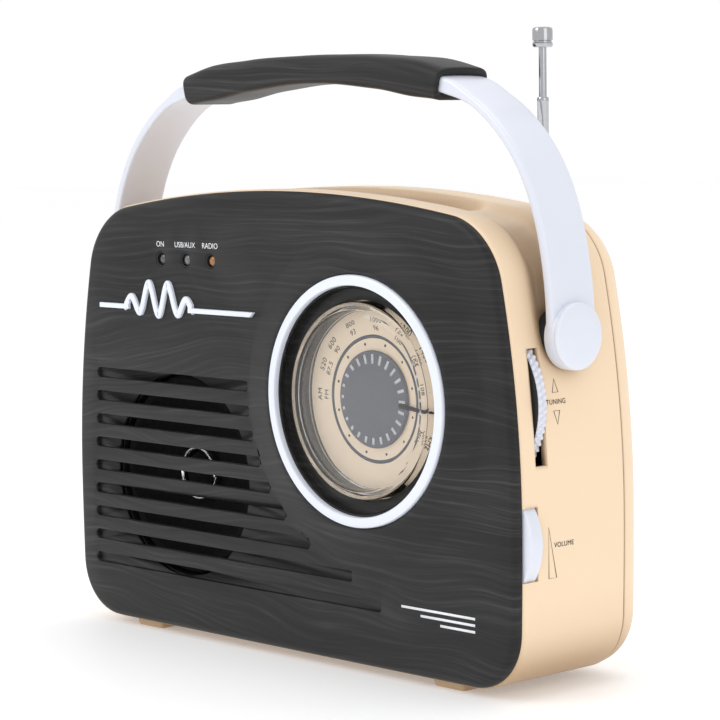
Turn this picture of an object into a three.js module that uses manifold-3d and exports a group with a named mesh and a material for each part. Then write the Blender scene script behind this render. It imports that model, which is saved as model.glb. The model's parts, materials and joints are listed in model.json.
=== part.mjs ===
// Portable retro tabletop radio: moulded case with a carrying handle, round tuning dial,
// louvred loudspeaker front, edge wheels for tuning and volume, and a telescopic aerial.
// Millimetres. +X is the viewer's right, +Y runs to the back, +Z is up. The origin is on the
// surface the radio stands on, under the middle of the whole object.
import * as THREE from 'three';
import { mergeVertices } from 'three/addons/utils/BufferGeometryUtils.js';
import Module from 'manifold-3d';

const wasm = await Module();
wasm.setup();

// ---------------------------------------------------------------- driving dimensions
const GAP = 0.3;                 // clearance between pieces that rest on each other
const RUN = 0.3;                 // radial clearance round anything that turns or slides

const HALF_WIDTH = 100;          // panel outline at its widest level
const WIDEST_Z = 50;             // level of that widest point
const PANEL_BOTTOM = 2.6;
const PANEL_TOP = 143.4;         // on the centre line
const TOP_CROWN = 0.0011;        // fall of the top edge, per millimetre squared from the centre
const UPPER_TAPER = 0.0015;      // how the sides draw in above the widest level
const LOWER_TAPER = 0.00048;     // and below it
const BOTTOM_CORNER = 17.5;      // length of the corner curves along each side
const TOP_CORNER = 15;
const CORNER_FULLNESS = 0.58;

const PANEL_FACE_Y = -25.7;
const CASE_FRONT_Y = -23;
const CASE_REAR_Y = 20;
const BACK_Y = 30;
const CASE_LIP = 0.4;            // the case stands this far outside the panel outline
const CASE_WALL = 2.4;
const PANEL_EDGE = 2.6;          // radius of the panel's rolled edge
const BACK_ROUND = 8.5;          // radius round the back cover
const COVER_WALL = 2;

const FOOT = { x: 68.9, width: 12.4, length: 8, inset: 1.4 };

const DIAL = { x: 38.1, z: 82.2 };
const LENS = { radius: 29.3, front: -28.4, crown: 0.5, wall: 1.7 };
const RING = { ledge: 4.85, band: 3.25, front: -30, height: 1.8 };
const BULGE = { shoulder: 1.8, slope: 12, crestY: -29 };
const LEDGE_Y = -25;
const DIAL_PLATE = { front: -19.4, thickness: 1, lap: 2.1 };
const POINTER = { disc: 14.6, tipGap: 4.3, width: 1.1, thickness: 0.8, angle: -5.3 };

const SPEAKER = { x: -47.2, z: 52.3, opening: 32.6, flange: 36, depth: 27, magnet: 20 };
const LOUVRE = { rows: 9, top: 83.05, pitch: 7.69, height: 3.2, depth: 1.4, left: -90.5 };
const LOW_ROW_ENDS = [33, 45.3]; // right ends of the two grooves that pass under the dial

const LAMP = { z: 121.2, first: -54.2, pitch: 12.2, radius: 2, proud: 0.5 };
const BADGE = { left: -85, dialGap: 1.3, z: 105.4, bar: 1.7, height: 1.2 };

const PIVOT = { y: -2, z: 103, standOff: 1.7, eye: 4.1, cap: 1.3, radius: 9.7, pin: 2.5, head: 5 };
const STRAP = { width: 18.4, thickness: 2.8, top: 180 };
const GRIP = { halfLength: 58, width: 21, thickness: 8.5, endThickness: 10.5, round: 2.4 };

const RECESS = { front: -13.5, back: 8.3, floor: 131.8, flat: 46, rise: 70, wall: 2 };
const CHANNEL = { front: -8.4, back: 4.4, depth: 2.2, bottom: 113.5 };

const TUNING_SLOT = { front: -17.4, back: -12.5, z: 83.6, height: 33.1 };
const TUNING_WHEEL = { radius: 26, proud: 2.2, teeth: 52, tooth: 0.7 };
const VOLUME_SLOT = { back: -16.9, z: 45.2, height: 21.1 };
const VOLUME_WHEEL = { radius: 19, proud: 2.6 };
const SPINDLE = { radius: 2, pulley: 4.1, flange: 6 };
const DRUM = { radius: 16.6, flange: 18.5, shaft: 2 };
const CORD = { thickness: 0.8, y: -10 };
const CORD_SLACK = 0.4;          // cord to groove

const AERIAL = { pastCorner: 0, y: 14.5, bottom: 8, sleeve: 3.7, wall: 0.45, step: 0.65 };
const AERIAL_OUT = { third: 32.6, rod: 14.4 };   // how far the two thinnest sections stand out
const AERIAL_ROD = 1.15;
const AERIAL_CAP = { radius: 3, height: 6 };

const BUTTON = { radius: 4, first: -45, pitch: 18, count: 4, proud: 3, travel: 1.2 };
const SLIDER = { x: 38, width: 5, depth: 6, travel: 6, proud: 3 };
const SWITCH_BOARD = { z: 120.8, thickness: 1.4 };

const CELL = { radius: 7.2, length: 50.5, count: 4, spacing: 0.6 };
const BATTERY = { z: 43, depthSpare: 1.2, wall: 1.6, contact: 3 };
const DOOR = { thickness: 1.8, sideLap: 1.2, endLap: 2.2, surround: 2 };

// ---------------------------------------------------------------- materials
const finish = (color, roughness, metalness = 0, extra = {}) =>
  new THREE.MeshStandardMaterial({ color, roughness, metalness, ...extra });
const CREAM = finish(0xf7dfbf, 0.42);
const BLACK_WOOD = finish(0x2c2b2b, 0.5);
const BLACK = finish(0x161616, 0.6);
const SATIN_SILVER = finish(0xdfe2ea, 0.35, 0.15);
const WHITE_TRIM = finish(0xe9ecf5, 0.3, 0.1);
const CHROME = finish(0xcfd1d4, 0.12, 1);
const STEEL = finish(0xa6a8ab, 0.35, 1);
const BRASS = finish(0xc9a24e, 0.35, 1);
const DIAL_CREAM = finish(0xe6d2b2, 0.55);
const DIAL_GREY = finish(0x75767d, 0.45);
const CLEAR = finish(0xf2f4f5, 0.05, 0, { transparent: true, opacity: 0.3 });
const LAMP_COLOURS = [0x6d7074, 0xb9bcc0, 0xd98a2b];
const BOARD_GREEN = finish(0x23633c, 0.55);
const CONE_GREY = finish(0x3a3b3d, 0.85);
const COPPER = finish(0xb3683a, 0.4, 1);
const FERRITE = finish(0x2f2e2d, 0.7);
const CELL_SLEEVE = finish(0x8b8f96, 0.4, 0.3);

// ---------------------------------------------------------------- solids from three.js shapes
function solid(geometry) {
  geometry.deleteAttribute('normal');
  geometry.deleteAttribute('uv');
  const merged = mergeVertices(geometry, 1e-4);
  const index = merged.index.array;
  const triangles = [];
  for (let i = 0; i < index.length; i += 3) {
    const [a, b, c] = [index[i], index[i + 1], index[i + 2]];
    if (a !== b && b !== c && c !== a) triangles.push(a, b, c);
  }
  const vertProperties = new Float32Array(merged.attributes.position.array);
  return new wasm.Manifold(new wasm.Mesh({ numProp: 3, vertProperties, triVerts: new Uint32Array(triangles) }));
}

function geometryOf(manifold) {
  const mesh = manifold.getMesh();
  const geometry = new THREE.BufferGeometry();
  geometry.setAttribute('position', new THREE.BufferAttribute(new Float32Array(mesh.vertProperties), 3));
  geometry.setIndex(new THREE.BufferAttribute(new Uint32Array(mesh.triVerts), 1));
  const faceted = geometry.toNonIndexed();
  faceted.computeVertexNormals();
  return faceted;
}

const union = (...solids) => solids.reduce((whole, next) => whole.add(next));

function box([x0, y0, z0], [x1, y1, z1]) {
  const geometry = new THREE.BoxGeometry(x1 - x0, y1 - y0, z1 - z0);
  return solid(geometry.translate((x0 + x1) / 2, (y0 + y1) / 2, (z0 + z1) / 2));
}

// A flat outline in X and Z, pushed from y0 to y1.
function slabY(points, y0, y1, bevel = 0, segments = 3) {
  const shape = points instanceof THREE.Shape ? points : new THREE.Shape(points);
  const geometry = new THREE.ExtrudeGeometry(shape, {
    depth: y1 - y0 - 2 * bevel,
    bevelEnabled: bevel > 0,
    bevelSize: bevel,
    bevelThickness: bevel,
    bevelSegments: segments,
    curveSegments: 6,
  });
  return solid(geometry.rotateX(Math.PI / 2).translate(0, y1 - bevel, 0));
}

// A closed profile of [radius, position] pairs, turned about an axis through (u, v).
function turned(profile, segments) {
  const area = profile.reduce((sum, [r, h], i) => {
    const [nextR, nextH] = profile[(i + 1) % profile.length];
    return sum + r * nextH - nextR * h;
  }, 0);
  const ordered = area > 0 ? profile : [...profile].reverse();
  const points = [...ordered, ordered[0]].map(([r, h]) => new THREE.Vector2(r, h));
  return new THREE.LatheGeometry(points, segments);
}
const turnedY = (profile, x, z, segments = 32) => solid(turned(profile, segments).translate(x, 0, z));
const turnedZ = (profile, x, y, segments = 16) =>
  solid(turned(profile, segments).rotateX(Math.PI / 2).translate(x, y, 0));
const turnedX = (profile, y, z, segments = 32) =>
  solid(turned(profile, segments).rotateZ(-Math.PI / 2).translate(0, y, z));

const rod = (radius, from, to) => [[0, from], [radius, from], [radius, to], [0, to]];
const tube = (inner, outer, from, to) => [[inner, from], [outer, from], [outer, to], [inner, to]];

// ---------------------------------------------------------------- the case outline
const sideX = (z) => HALF_WIDTH - (z > WIDEST_Z ? UPPER_TAPER : LOWER_TAPER) * (z - WIDEST_Z) ** 2;
const topZ = (x) => PANEL_TOP - TOP_CROWN * x * x;

function cornerCurve(start, corner, end, steps) {
  const curve = new THREE.CubicBezierCurve(
    start,
    start.clone().lerp(corner, CORNER_FULLNESS),
    end.clone().lerp(corner, CORNER_FULLNESS),
    end,
  );
  return curve.getPoints(steps);
}

// The level where the top edge and the side would meet without the corner curve.
function topCornerZ() {
  let z = PANEL_TOP;
  for (let i = 0; i < 20; i += 1) z = topZ(sideX(z));
  return z;
}
const cornerZ = topCornerZ();
const topStart = sideX(cornerZ) - TOP_CORNER;   // where the top edge turns into the corner curve
const aerialX = topStart + AERIAL.pastCorner;

function halfOutline() {
  const lowCorner = new THREE.Vector2(sideX(PANEL_BOTTOM), PANEL_BOTTOM);
  const highCorner = new THREE.Vector2(sideX(cornerZ), cornerZ);
  const sideFoot = PANEL_BOTTOM + BOTTOM_CORNER;
  const sideHead = cornerZ - TOP_CORNER;
  const points = cornerCurve(
    new THREE.Vector2(lowCorner.x - BOTTOM_CORNER, PANEL_BOTTOM),
    lowCorner,
    new THREE.Vector2(sideX(sideFoot), sideFoot),
    6,
  );
  const sideSteps = 8;
  for (let i = 1; i < sideSteps; i += 1) {
    const z = THREE.MathUtils.lerp(sideFoot, sideHead, i / sideSteps);
    points.push(new THREE.Vector2(sideX(z), z));
  }
  points.push(...cornerCurve(
    new THREE.Vector2(sideX(sideHead), sideHead),
    highCorner,
    new THREE.Vector2(topStart, topZ(topStart)),
    6,
  ));
  const topSteps = 5;
  for (let i = 1; i <= topSteps; i += 1) {
    const x = topStart * (1 - i / topSteps);
    points.push(new THREE.Vector2(x, topZ(x)));
  }
  return points;
}

const HALF = halfOutline();
const OUTLINE = [...HALF, ...HALF.slice(0, -1).reverse().map((p) => new THREE.Vector2(-p.x, p.y))];

// The outline moved outwards by grow(point), or by a plain number.
function grown(grow, points = OUTLINE) {
  const amount = typeof grow === 'function' ? grow : () => grow;
  return points.map((p, i) => {
    const before = OUTLINE[(OUTLINE.indexOf(p) + OUTLINE.length - 1) % OUTLINE.length];
    const after = OUTLINE[(OUTLINE.indexOf(p) + 1) % OUTLINE.length];
    const along = after.clone().sub(before).normalize();
    return new THREE.Vector2(p.x + along.y * amount(p, i), p.y - along.x * amount(p, i));
  });
}

// ---------------------------------------------------------------- case
const caseX = (z) => sideX(z) + CASE_LIP;
const caseTop = (x) => topZ(x) + CASE_LIP;

// The handle's pivots, outwards from the side of the case.
const eyeIn = caseX(PIVOT.z) + PIVOT.standOff;
const eyeOut = eyeIn + PIVOT.eye;
const capIn = eyeOut + GAP;
const capOut = capIn + PIVOT.cap;

// Region from the recess floor, sunk a further `sink`, up past the outside of the case.
function recessShape(sink) {
  const topPoints = OUTLINE.filter((p) => p.y > CHANNEL.bottom && Math.abs(p.x) > RECESS.rise - 1);
  const right = topPoints.filter((p) => p.x > 0);
  const floorRight = grown(CASE_LIP - CHANNEL.depth - sink, right);
  const lastRight = floorRight[floorRight.length - 1];
  const flatEnd = new THREE.Vector2(RECESS.flat, RECESS.floor - sink);
  const ramp = new THREE.CubicBezierCurve(
    lastRight,
    new THREE.Vector2(lastRight.x - (lastRight.x - flatEnd.x) / 2, lastRight.y),
    new THREE.Vector2(flatEnd.x + (lastRight.x - flatEnd.x) / 2, flatEnd.y),
    flatEnd,
  ).getPoints(6).slice(1);
  const halfFloor = [...floorRight, ...ramp];
  const floor = [...halfFloor, ...halfFloor.slice().reverse().map((p) => new THREE.Vector2(-p.x, p.y))];
  const reach = HALF_WIDTH + 10;
  return [
    new THREE.Vector2(reach, floor[0].y),
    ...floor,
    new THREE.Vector2(-reach, floor[0].y),
    new THREE.Vector2(-reach, PANEL_TOP + 20),
    new THREE.Vector2(reach, PANEL_TOP + 20),
  ];
}

const recessStep = caseTop(RECESS.rise) - CHANNEL.depth - 6;   // level where the wide part begins

function recessSolid(sink, side) {
  const shape = recessShape(sink);
  const wide = slabY(shape, RECESS.front - side, RECESS.back + side)
    .intersect(box([-200, -50, recessStep - sink], [200, 50, 200]));
  const narrow = slabY(shape, CHANNEL.front - side, CHANNEL.back + side);
  return wide.add(narrow);
}

const footBox = (x, y0, y1) => box([x - FOOT.width / 2, y0, 0], [x + FOOT.width / 2, y1, PANEL_BOTTOM + 1]);

const volumeX = caseX(VOLUME_SLOT.z) + VOLUME_WHEEL.proud - VOLUME_WHEEL.radius;
const tuningX = caseX(TUNING_SLOT.z) + TUNING_WHEEL.proud - TUNING_WHEEL.radius;
const WHEEL_RELIEF = 0.6;        // hollow in the wall's inner side round each edge wheel
// Slot through the side wall, with the wall hollowed round the wheel behind it.
function wheelSlot(front, back, z, height, x, radius) {
  const opening = box([caseX(z) - 8, front, z - height / 2], [caseX(z) + 8, back, z + height / 2]);
  return opening.add(turnedY(rod(radius + WHEEL_RELIEF, front, back), x, z, 56));
}

const controlY = (RECESS.front + RECESS.back) / 2;
const buttonX = (i) => BUTTON.first + i * BUTTON.pitch;
const floorUnder = RECESS.floor - RECESS.wall;
const floorHoleTop = RECESS.floor + BUTTON.proud + GAP;
const floorHoleBottom = floorUnder - 1;

function caseShell() {
  const outside = slabY(grown(CASE_LIP), CASE_FRONT_Y, CASE_REAR_Y);
  const inside = slabY(grown(CASE_LIP - CASE_WALL), CASE_FRONT_Y - 1, CASE_REAR_Y + 1);
  let shell = outside.subtract(inside);
  const tray = recessSolid(RECESS.wall, RECESS.wall).intersect(outside);
  shell = shell.add(tray).subtract(recessSolid(0, 0));
  const frontFoot = CASE_FRONT_Y + FOOT.inset;
  const rearFoot = CASE_REAR_Y - FOOT.inset;
  for (const x of [-FOOT.x, FOOT.x]) {
    shell = shell.add(footBox(x, frontFoot, frontFoot + FOOT.length));
    shell = shell.add(footBox(x, rearFoot - FOOT.length, rearFoot));
  }
  const padIn = caseX(PIVOT.z) - 3;
  for (const side of [-1, 1]) {
    const pad = turnedX(rod(PIVOT.radius - 1.2, side * padIn, side * (eyeIn - GAP)), PIVOT.y, PIVOT.z, 24);
    const hole = turnedX(rod(PIVOT.pin + RUN, side * (padIn - 10), side * (eyeIn + 10)), PIVOT.y, PIVOT.z, 16);
    shell = shell.add(pad).subtract(hole);
  }
  shell = shell.subtract(wheelSlot(
    TUNING_SLOT.front, TUNING_SLOT.back, TUNING_SLOT.z, TUNING_SLOT.height, tuningX, TUNING_WHEEL.radius));
  shell = shell.subtract(wheelSlot(
    CASE_FRONT_Y - 1, VOLUME_SLOT.back, VOLUME_SLOT.z, VOLUME_SLOT.height, volumeX, VOLUME_WHEEL.radius));
  for (let i = 0; i < BUTTON.count; i += 1) {
    shell = shell.subtract(turnedZ(rod(BUTTON.radius + RUN, floorHoleBottom, floorHoleTop), buttonX(i), controlY));
  }
  const stem = SLIDER.width / 2 - 1 + RUN;
  shell = shell.subtract(box(
    [SLIDER.x - stem, controlY - stem, floorHoleBottom],
    [SLIDER.x + stem + SLIDER.travel, controlY + stem, floorHoleTop]));
  return shell.subtract(turnedZ(
    rod(AERIAL.sleeve - AERIAL.wall, AERIAL.bottom + 100, PANEL_TOP + 5), aerialX, AERIAL.y));
}

// ---------------------------------------------------------------- dial radii, outwards from the lens
const ringInner = LENS.radius + RING.ledge;
const ringOuter = ringInner + RING.band;
const bulgeCrest = ringOuter + BULGE.shoulder;
const bulgeOuter = bulgeCrest + BULGE.slope;
const plateRadius = LENS.radius + DIAL_PLATE.lap;
const pointerReach = LENS.radius - POINTER.tipGap;

// ---------------------------------------------------------------- front panel
function louvreShape(row) {
  const z = LOUVRE.top - row * LOUVRE.pitch;
  const low = LOUVRE.rows - LOW_ROW_ENDS.length;
  const stop = row < low
    ? DIAL.x - Math.sqrt(bulgeOuter ** 2 - (DIAL.z - z) ** 2)
    : LOW_ROW_ENDS[row - low];
  const r = LOUVRE.height / 2;
  const shape = new THREE.Shape();
  shape.absarc(LOUVRE.left + r, z, r, Math.PI / 2, 1.5 * Math.PI, false);
  shape.lineTo(stop, z - r);
  shape.lineTo(stop, z + r);
  return shape;
}

function bulgeProfile() {
  const seat = RING.front + RING.height + GAP;
  const ringOut = ringOuter + GAP;
  const ledgeOut = ringInner - GAP;
  const hole = LENS.radius + GAP;
  const under = CASE_FRONT_Y - GAP;
  return [
    [hole, DIAL_PLATE.front - GAP],
    [hole, LEDGE_Y],
    [ledgeOut, LEDGE_Y],
    [ledgeOut, seat],
    [ringOut, seat],
    [ringOut, BULGE.crestY],
    [bulgeCrest, BULGE.crestY],
    [bulgeCrest + 5, BULGE.crestY + 1.7],
    [bulgeOuter, PANEL_FACE_Y + 0.01],
    [bulgeOuter, under],
    [bulgeCrest, seat + 2.4],
    [ledgeOut + 1.6, seat + 2.4],
    [ledgeOut + 1.6, LEDGE_Y + 1.8],
    [hole + 1.8, LEDGE_Y + 1.8],
    [hole + 1.8, DIAL_PLATE.front - GAP],
  ];
}

function frontPanel() {
  const face = slabY(grown(-PANEL_EDGE), PANEL_FACE_Y, PANEL_FACE_Y + 12, PANEL_EDGE)
    .intersect(box([-200, -60, -10], [200, CASE_FRONT_Y - GAP, 200]));
  const lipOut = CASE_LIP - CASE_WALL - GAP;
  const lip = slabY(grown(lipOut), CASE_FRONT_Y - 1, CASE_FRONT_Y + 3)
    .subtract(slabY(grown(lipOut - 2), CASE_FRONT_Y - 2, CASE_FRONT_Y + 4));
  const wheelRelief = turnedY(
    rod(VOLUME_WHEEL.radius + WHEEL_RELIEF, CASE_FRONT_Y - GAP, CASE_FRONT_Y + 5), volumeX, VOLUME_SLOT.z, 56);
  let panel = face.add(lip).subtract(wheelRelief);
  panel = panel.subtract(turnedY(rod(bulgeOuter - 4, -40, 0), DIAL.x, DIAL.z, 48));
  panel = panel.add(turnedY(bulgeProfile(), DIAL.x, DIAL.z, 48));
  const speakerHole = turnedY(rod(SPEAKER.opening, -40, 0), SPEAKER.x, SPEAKER.z, 48);
  for (let row = 0; row < LOUVRE.rows; row += 1) {
    const shape = louvreShape(row);
    panel = panel.subtract(slabY(shape, PANEL_FACE_Y - 5, PANEL_FACE_Y + LOUVRE.depth));
    panel = panel.subtract(slabY(shape, PANEL_FACE_Y - 5, 0).intersect(speakerHole));
  }
  for (let i = 0; i < LAMP_COLOURS.length; i += 1) {
    panel = panel.subtract(turnedY(rod(LAMP.radius + 0.1 + RUN, -40, -20), lampX(i), LAMP.z, 16));
  }
  return panel;
}

// ---------------------------------------------------------------- dial
const dialRing = () => turnedY([
  [ringInner, RING.front + RING.height],
  [ringInner, RING.front + 0.4],
  [ringInner + 0.5, RING.front],
  [ringOuter - 0.8, RING.front],
  [ringOuter, RING.front + 0.8],
  [ringOuter, RING.front + RING.height],
], DIAL.x, DIAL.z, 56);

const lensRear = DIAL_PLATE.front - GAP;
const dialLens = () => turnedY([
  [0, LENS.front - LENS.crown],
  [LENS.radius * 0.55, LENS.front - LENS.crown * 0.75],
  [LENS.radius - 2.4, LENS.front],
  [LENS.radius - 0.6, LENS.front + 0.7],
  [LENS.radius, LENS.front + 1.8],
  [LENS.radius, lensRear],
  [LENS.radius - LENS.wall, lensRear],
  [LENS.radius - LENS.wall, LENS.front + 2.2],
  [LENS.radius - 3.6, LENS.front + 1.5],
  [0, LENS.front - LENS.crown + 1.5],
], DIAL.x, DIAL.z, 48);

const hubRadius = 3.2;
const plateRear = DIAL_PLATE.front + DIAL_PLATE.thickness;
const dialPlate = () => turnedY(
  tube(hubRadius + RUN, plateRadius, DIAL_PLATE.front, plateRear), DIAL.x, DIAL.z, 48);

function pointerDisc() {
  const back = DIAL_PLATE.front - 0.4;
  const front = back - POINTER.thickness;
  const disc = turnedY(rod(POINTER.disc, front, back), DIAL.x, DIAL.z, 40);
  const hub = turnedY(rod(hubRadius, back - 0.1, plateRear + 0.3), DIAL.x, DIAL.z, 16);
  const needleGeometry = new THREE.BoxGeometry(pointerReach - 4, POINTER.thickness * 0.8, POINTER.width)
    .translate(4 + (pointerReach - 4) / 2, 0, 0)
    .rotateY(-THREE.MathUtils.degToRad(POINTER.angle))
    .translate(DIAL.x, (front + back) / 2, DIAL.z);
  return union(disc, hub, solid(needleGeometry));
}

// ---------------------------------------------------------------- lamps and badge
function lampX(i) {
  return LAMP.first + i * LAMP.pitch;
}
const lamp = (i) => turnedY([
  [0, PANEL_FACE_Y + LAMP.proud],
  [LAMP.radius * 0.7, PANEL_FACE_Y + LAMP.proud + 0.4],
  [LAMP.radius, PANEL_FACE_Y + LAMP.proud + 1.4],
  [LAMP.radius, lampBoardFront - GAP],
  [0, lampBoardFront - GAP],
], lampX(i), LAMP.z, 14);

const lampBoardFront = CASE_FRONT_Y + 3.5;
const lampBoard = () => box(
  [lampX(0) - 7, lampBoardFront, LAMP.z - 5],
  [lampX(2) + 7, lampBoardFront + 1.4, LAMP.z + 5]);

function badgeBar() {
  const right = DIAL.x - Math.sqrt(bulgeOuter ** 2 - (DIAL.z - BADGE.z) ** 2) - BADGE.dialGap;
  const back = PANEL_FACE_Y - GAP;
  const front = back - BADGE.height;
  const r = BADGE.bar / 2;
  const bar = new THREE.Shape([
    new THREE.Vector2(BADGE.left, BADGE.z - r),
    new THREE.Vector2(right - 1.5, BADGE.z - r),
    new THREE.Vector2(right, BADGE.z + r),
    new THREE.Vector2(BADGE.left, BADGE.z + r),
  ]);
  let badge = slabY(bar, front, back);
  const waveLeft = BADGE.left + 12;
  const waveWidth = 34;
  const swing = (t) => BADGE.z + 2.4 + 5.6 * Math.sin(t * Math.PI * 6) * Math.sin(t * Math.PI);
  const steps = 48;
  const line = Array.from({ length: steps + 1 }, (_, i) =>
    new THREE.Vector2(waveLeft + (waveWidth * i) / steps, swing(i / steps)));
  const half = 0.9;
  const side = (sign) => line.map((p, i) => {
    const a = line[Math.max(i - 1, 0)];
    const b = line[Math.min(i + 1, steps)];
    const along = b.clone().sub(a).normalize();
    return new THREE.Vector2(p.x - sign * along.y * half, p.y + sign * along.x * half);
  });
  badge = badge.add(slabY([...side(-1), ...side(1).reverse()], front, back));
  return badge;
}

// ---------------------------------------------------------------- handle
const strapMidX = (eyeIn + eyeOut) / 2;
function strapLine() {
  const rise = STRAP.top - PIVOT.z;
  const half = [
    [strapMidX - 0.3, 0],
    [strapMidX - 0.9, 0.155],
    [strapMidX - 2.6, 0.305],
    [strapMidX - 4.9, 0.43],
    [strapMidX - 8.5, 0.555],
    [strapMidX - 14, 0.675],
    [strapMidX - 21.8, 0.785],
    [strapMidX - 31.3, 0.872],
    [strapMidX - 44, 0.932],
    [30, 0.98],
    [0, 1],
  ].map(([x, share]) => new THREE.Vector3(x, 0, PIVOT.z + share * rise));
  const other = half.slice(0, -1).reverse().map((p) => new THREE.Vector3(-p.x, 0, p.z));
  return new THREE.CatmullRomCurve3([...half, ...other]);
}
const STRAP_LINE = strapLine();
const STRAP_STEPS = 48;

// A band along the strap's centre line, between two distances from it.
function strapBand(low, high, from = 0, to = 1) {
  const steps = Math.round(STRAP_STEPS * (to - from));
  const side = (offset) => Array.from({ length: steps + 1 }, (_, i) => {
    const t = from + ((to - from) * i) / steps;
    const p = STRAP_LINE.getPointAt(t);
    const along = STRAP_LINE.getTangentAt(t);
    const share = Math.abs(p.x) / GRIP.halfLength;
    const d = typeof offset === 'function' ? offset(share) : offset;
    return new THREE.Vector2(p.x + along.z * d, p.z - along.x * d);
  });
  return [...side(low), ...side(high).reverse()];
}

const strapHalf = STRAP.thickness / 2;
const strapFront = PIVOT.y - STRAP.width / 2;
const strapBack = PIVOT.y + STRAP.width / 2;

function handleStrap() {
  let strap = slabY(strapBand(-strapHalf, strapHalf), strapFront, strapBack);
  for (const side of [-1, 1]) {
    const eye = turnedX(rod(PIVOT.radius, side * eyeIn, side * eyeOut), PIVOT.y, PIVOT.z, 32);
    const bore = turnedX(
      rod(PIVOT.pin + RUN, side * (eyeIn - 1), side * (eyeOut - 0.8)), PIVOT.y, PIVOT.z, 16);
    strap = strap.add(eye).subtract(bore);
  }
  return strap;
}

function gripEnds() {
  let start = 0;
  while (STRAP_LINE.getPointAt(start).x > GRIP.halfLength) start += 0.002;
  return [start, 1 - start];
}

function handleGrip() {
  const [from, to] = gripEnds();
  const extra = (GRIP.endThickness - GRIP.thickness) / 2;
  const half = (share) => GRIP.thickness / 2 - GRIP.round + extra * Math.sin(Math.min(share, 1) * Math.PI * 0.62);
  const body = slabY(
    strapBand((s) => -half(s), half, from, to),
    PIVOT.y - GRIP.width / 2, PIVOT.y + GRIP.width / 2, GRIP.round, 2);
  const slot = slabY(strapBand(-strapHalf - GAP, strapHalf + GAP), strapFront - GAP, strapBack + GAP);
  return body.subtract(slot);
}

const pivotCap = (side) => turnedX([
  [0, side * capIn],
  [PIVOT.radius, side * capIn],
  [PIVOT.radius, side * (capOut - 0.6)],
  [PIVOT.radius - 0.8, side * capOut],
  [0, side * capOut],
], PIVOT.y, PIVOT.z, 40);

const pivotPin = (side) => {
  const inside = caseX(PIVOT.z + PIVOT.head) - CASE_WALL - 2 * GAP;
  return turnedX([
    [0, side * (inside - 2)],
    [PIVOT.head, side * (inside - 2)],
    [PIVOT.head, side * inside],
    [PIVOT.pin, side * inside],
    [PIVOT.pin, side * (eyeOut - 0.8 - GAP)],
    [0, side * (eyeOut - 0.8 - GAP)],
  ], PIVOT.y, PIVOT.z, 16);
};

// ---------------------------------------------------------------- tuning drive
function tuningWheel() {
  const front = TUNING_SLOT.front + GAP;
  const back = TUNING_SLOT.back - GAP;
  const steps = TUNING_WHEEL.teeth * 2;
  const rim = Array.from({ length: steps }, (_, i) => {
    const angle = (i / steps) * 2 * Math.PI;
    const r = TUNING_WHEEL.radius - (i % 2 ? TUNING_WHEEL.tooth : 0);
    return new THREE.Vector2(tuningX + r * Math.cos(angle), TUNING_SLOT.z + r * Math.sin(angle));
  });
  return slabY(rim, front, back)
    .subtract(turnedY(rod(SPINDLE.radius + RUN, front - 1, back + 1), tuningX, TUNING_SLOT.z, 12));
}

const cordFront = CORD.y - 1;
const cordBack = CORD.y + 1;
const chassisFront = cordBack + 1.6;
const chassisBack = chassisFront + 1.2;

const tuningSpindle = () => turnedY([
  [0, TUNING_SLOT.front + GAP],
  [SPINDLE.radius, TUNING_SLOT.front + GAP],
  [SPINDLE.radius, cordFront - 1],
  [SPINDLE.flange, cordFront - 1],
  [SPINDLE.flange, cordFront],
  [SPINDLE.pulley, cordFront],
  [SPINDLE.pulley, cordBack],
  [SPINDLE.flange, cordBack],
  [SPINDLE.flange, cordBack + 1],
  [SPINDLE.radius, cordBack + 1],
  [SPINDLE.radius, chassisBack + 1],
  [0, chassisBack + 1],
], tuningX, TUNING_SLOT.z, 16);

const dialDrum = () => turnedY([
  [0, plateRear + 0.3 + GAP],
  [DRUM.shaft, plateRear + 0.3 + GAP],
  [DRUM.shaft, cordFront - 1],
  [DRUM.flange, cordFront - 1],
  [DRUM.flange, cordFront],
  [DRUM.radius, cordFront],
  [DRUM.radius, cordBack],
  [DRUM.flange, cordBack],
  [DRUM.flange, cordBack + 1],
  [DRUM.shaft, cordBack + 1],
  [DRUM.shaft, chassisBack + 0.8],
  [0, chassisBack + 0.8],
], DIAL.x, DIAL.z, 28);

// Closed loop round the drum and the spindle pulley, at a distance from both grooves.
function cordLoop(offset) {
  const big = DRUM.radius + offset;
  const small = SPINDLE.pulley + offset;
  const dx = tuningX - DIAL.x;
  const dz = TUNING_SLOT.z - DIAL.z;
  const heading = Math.atan2(dz, dx);
  const tangent = Math.acos((big - small) / Math.hypot(dx, dz));
  const arc = (cx, cz, r, from, to, steps) => Array.from({ length: steps + 1 }, (_, i) => {
    const angle = from + ((to - from) * i) / steps;
    return new THREE.Vector2(cx + r * Math.cos(angle), cz + r * Math.sin(angle));
  });
  return [
    ...arc(DIAL.x, DIAL.z, big, heading + tangent, heading + 2 * Math.PI - tangent, 24),
    ...arc(tuningX, TUNING_SLOT.z, small, heading - tangent, heading + tangent, 10),
  ];
}

function driveCord() {
  const inner = CORD_SLACK;
  const half = CORD.thickness / 2;
  return slabY(cordLoop(inner + CORD.thickness), CORD.y - half, CORD.y + half)
    .subtract(slabY(cordLoop(inner), CORD.y - half - 1, CORD.y + half + 1));
}

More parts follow.
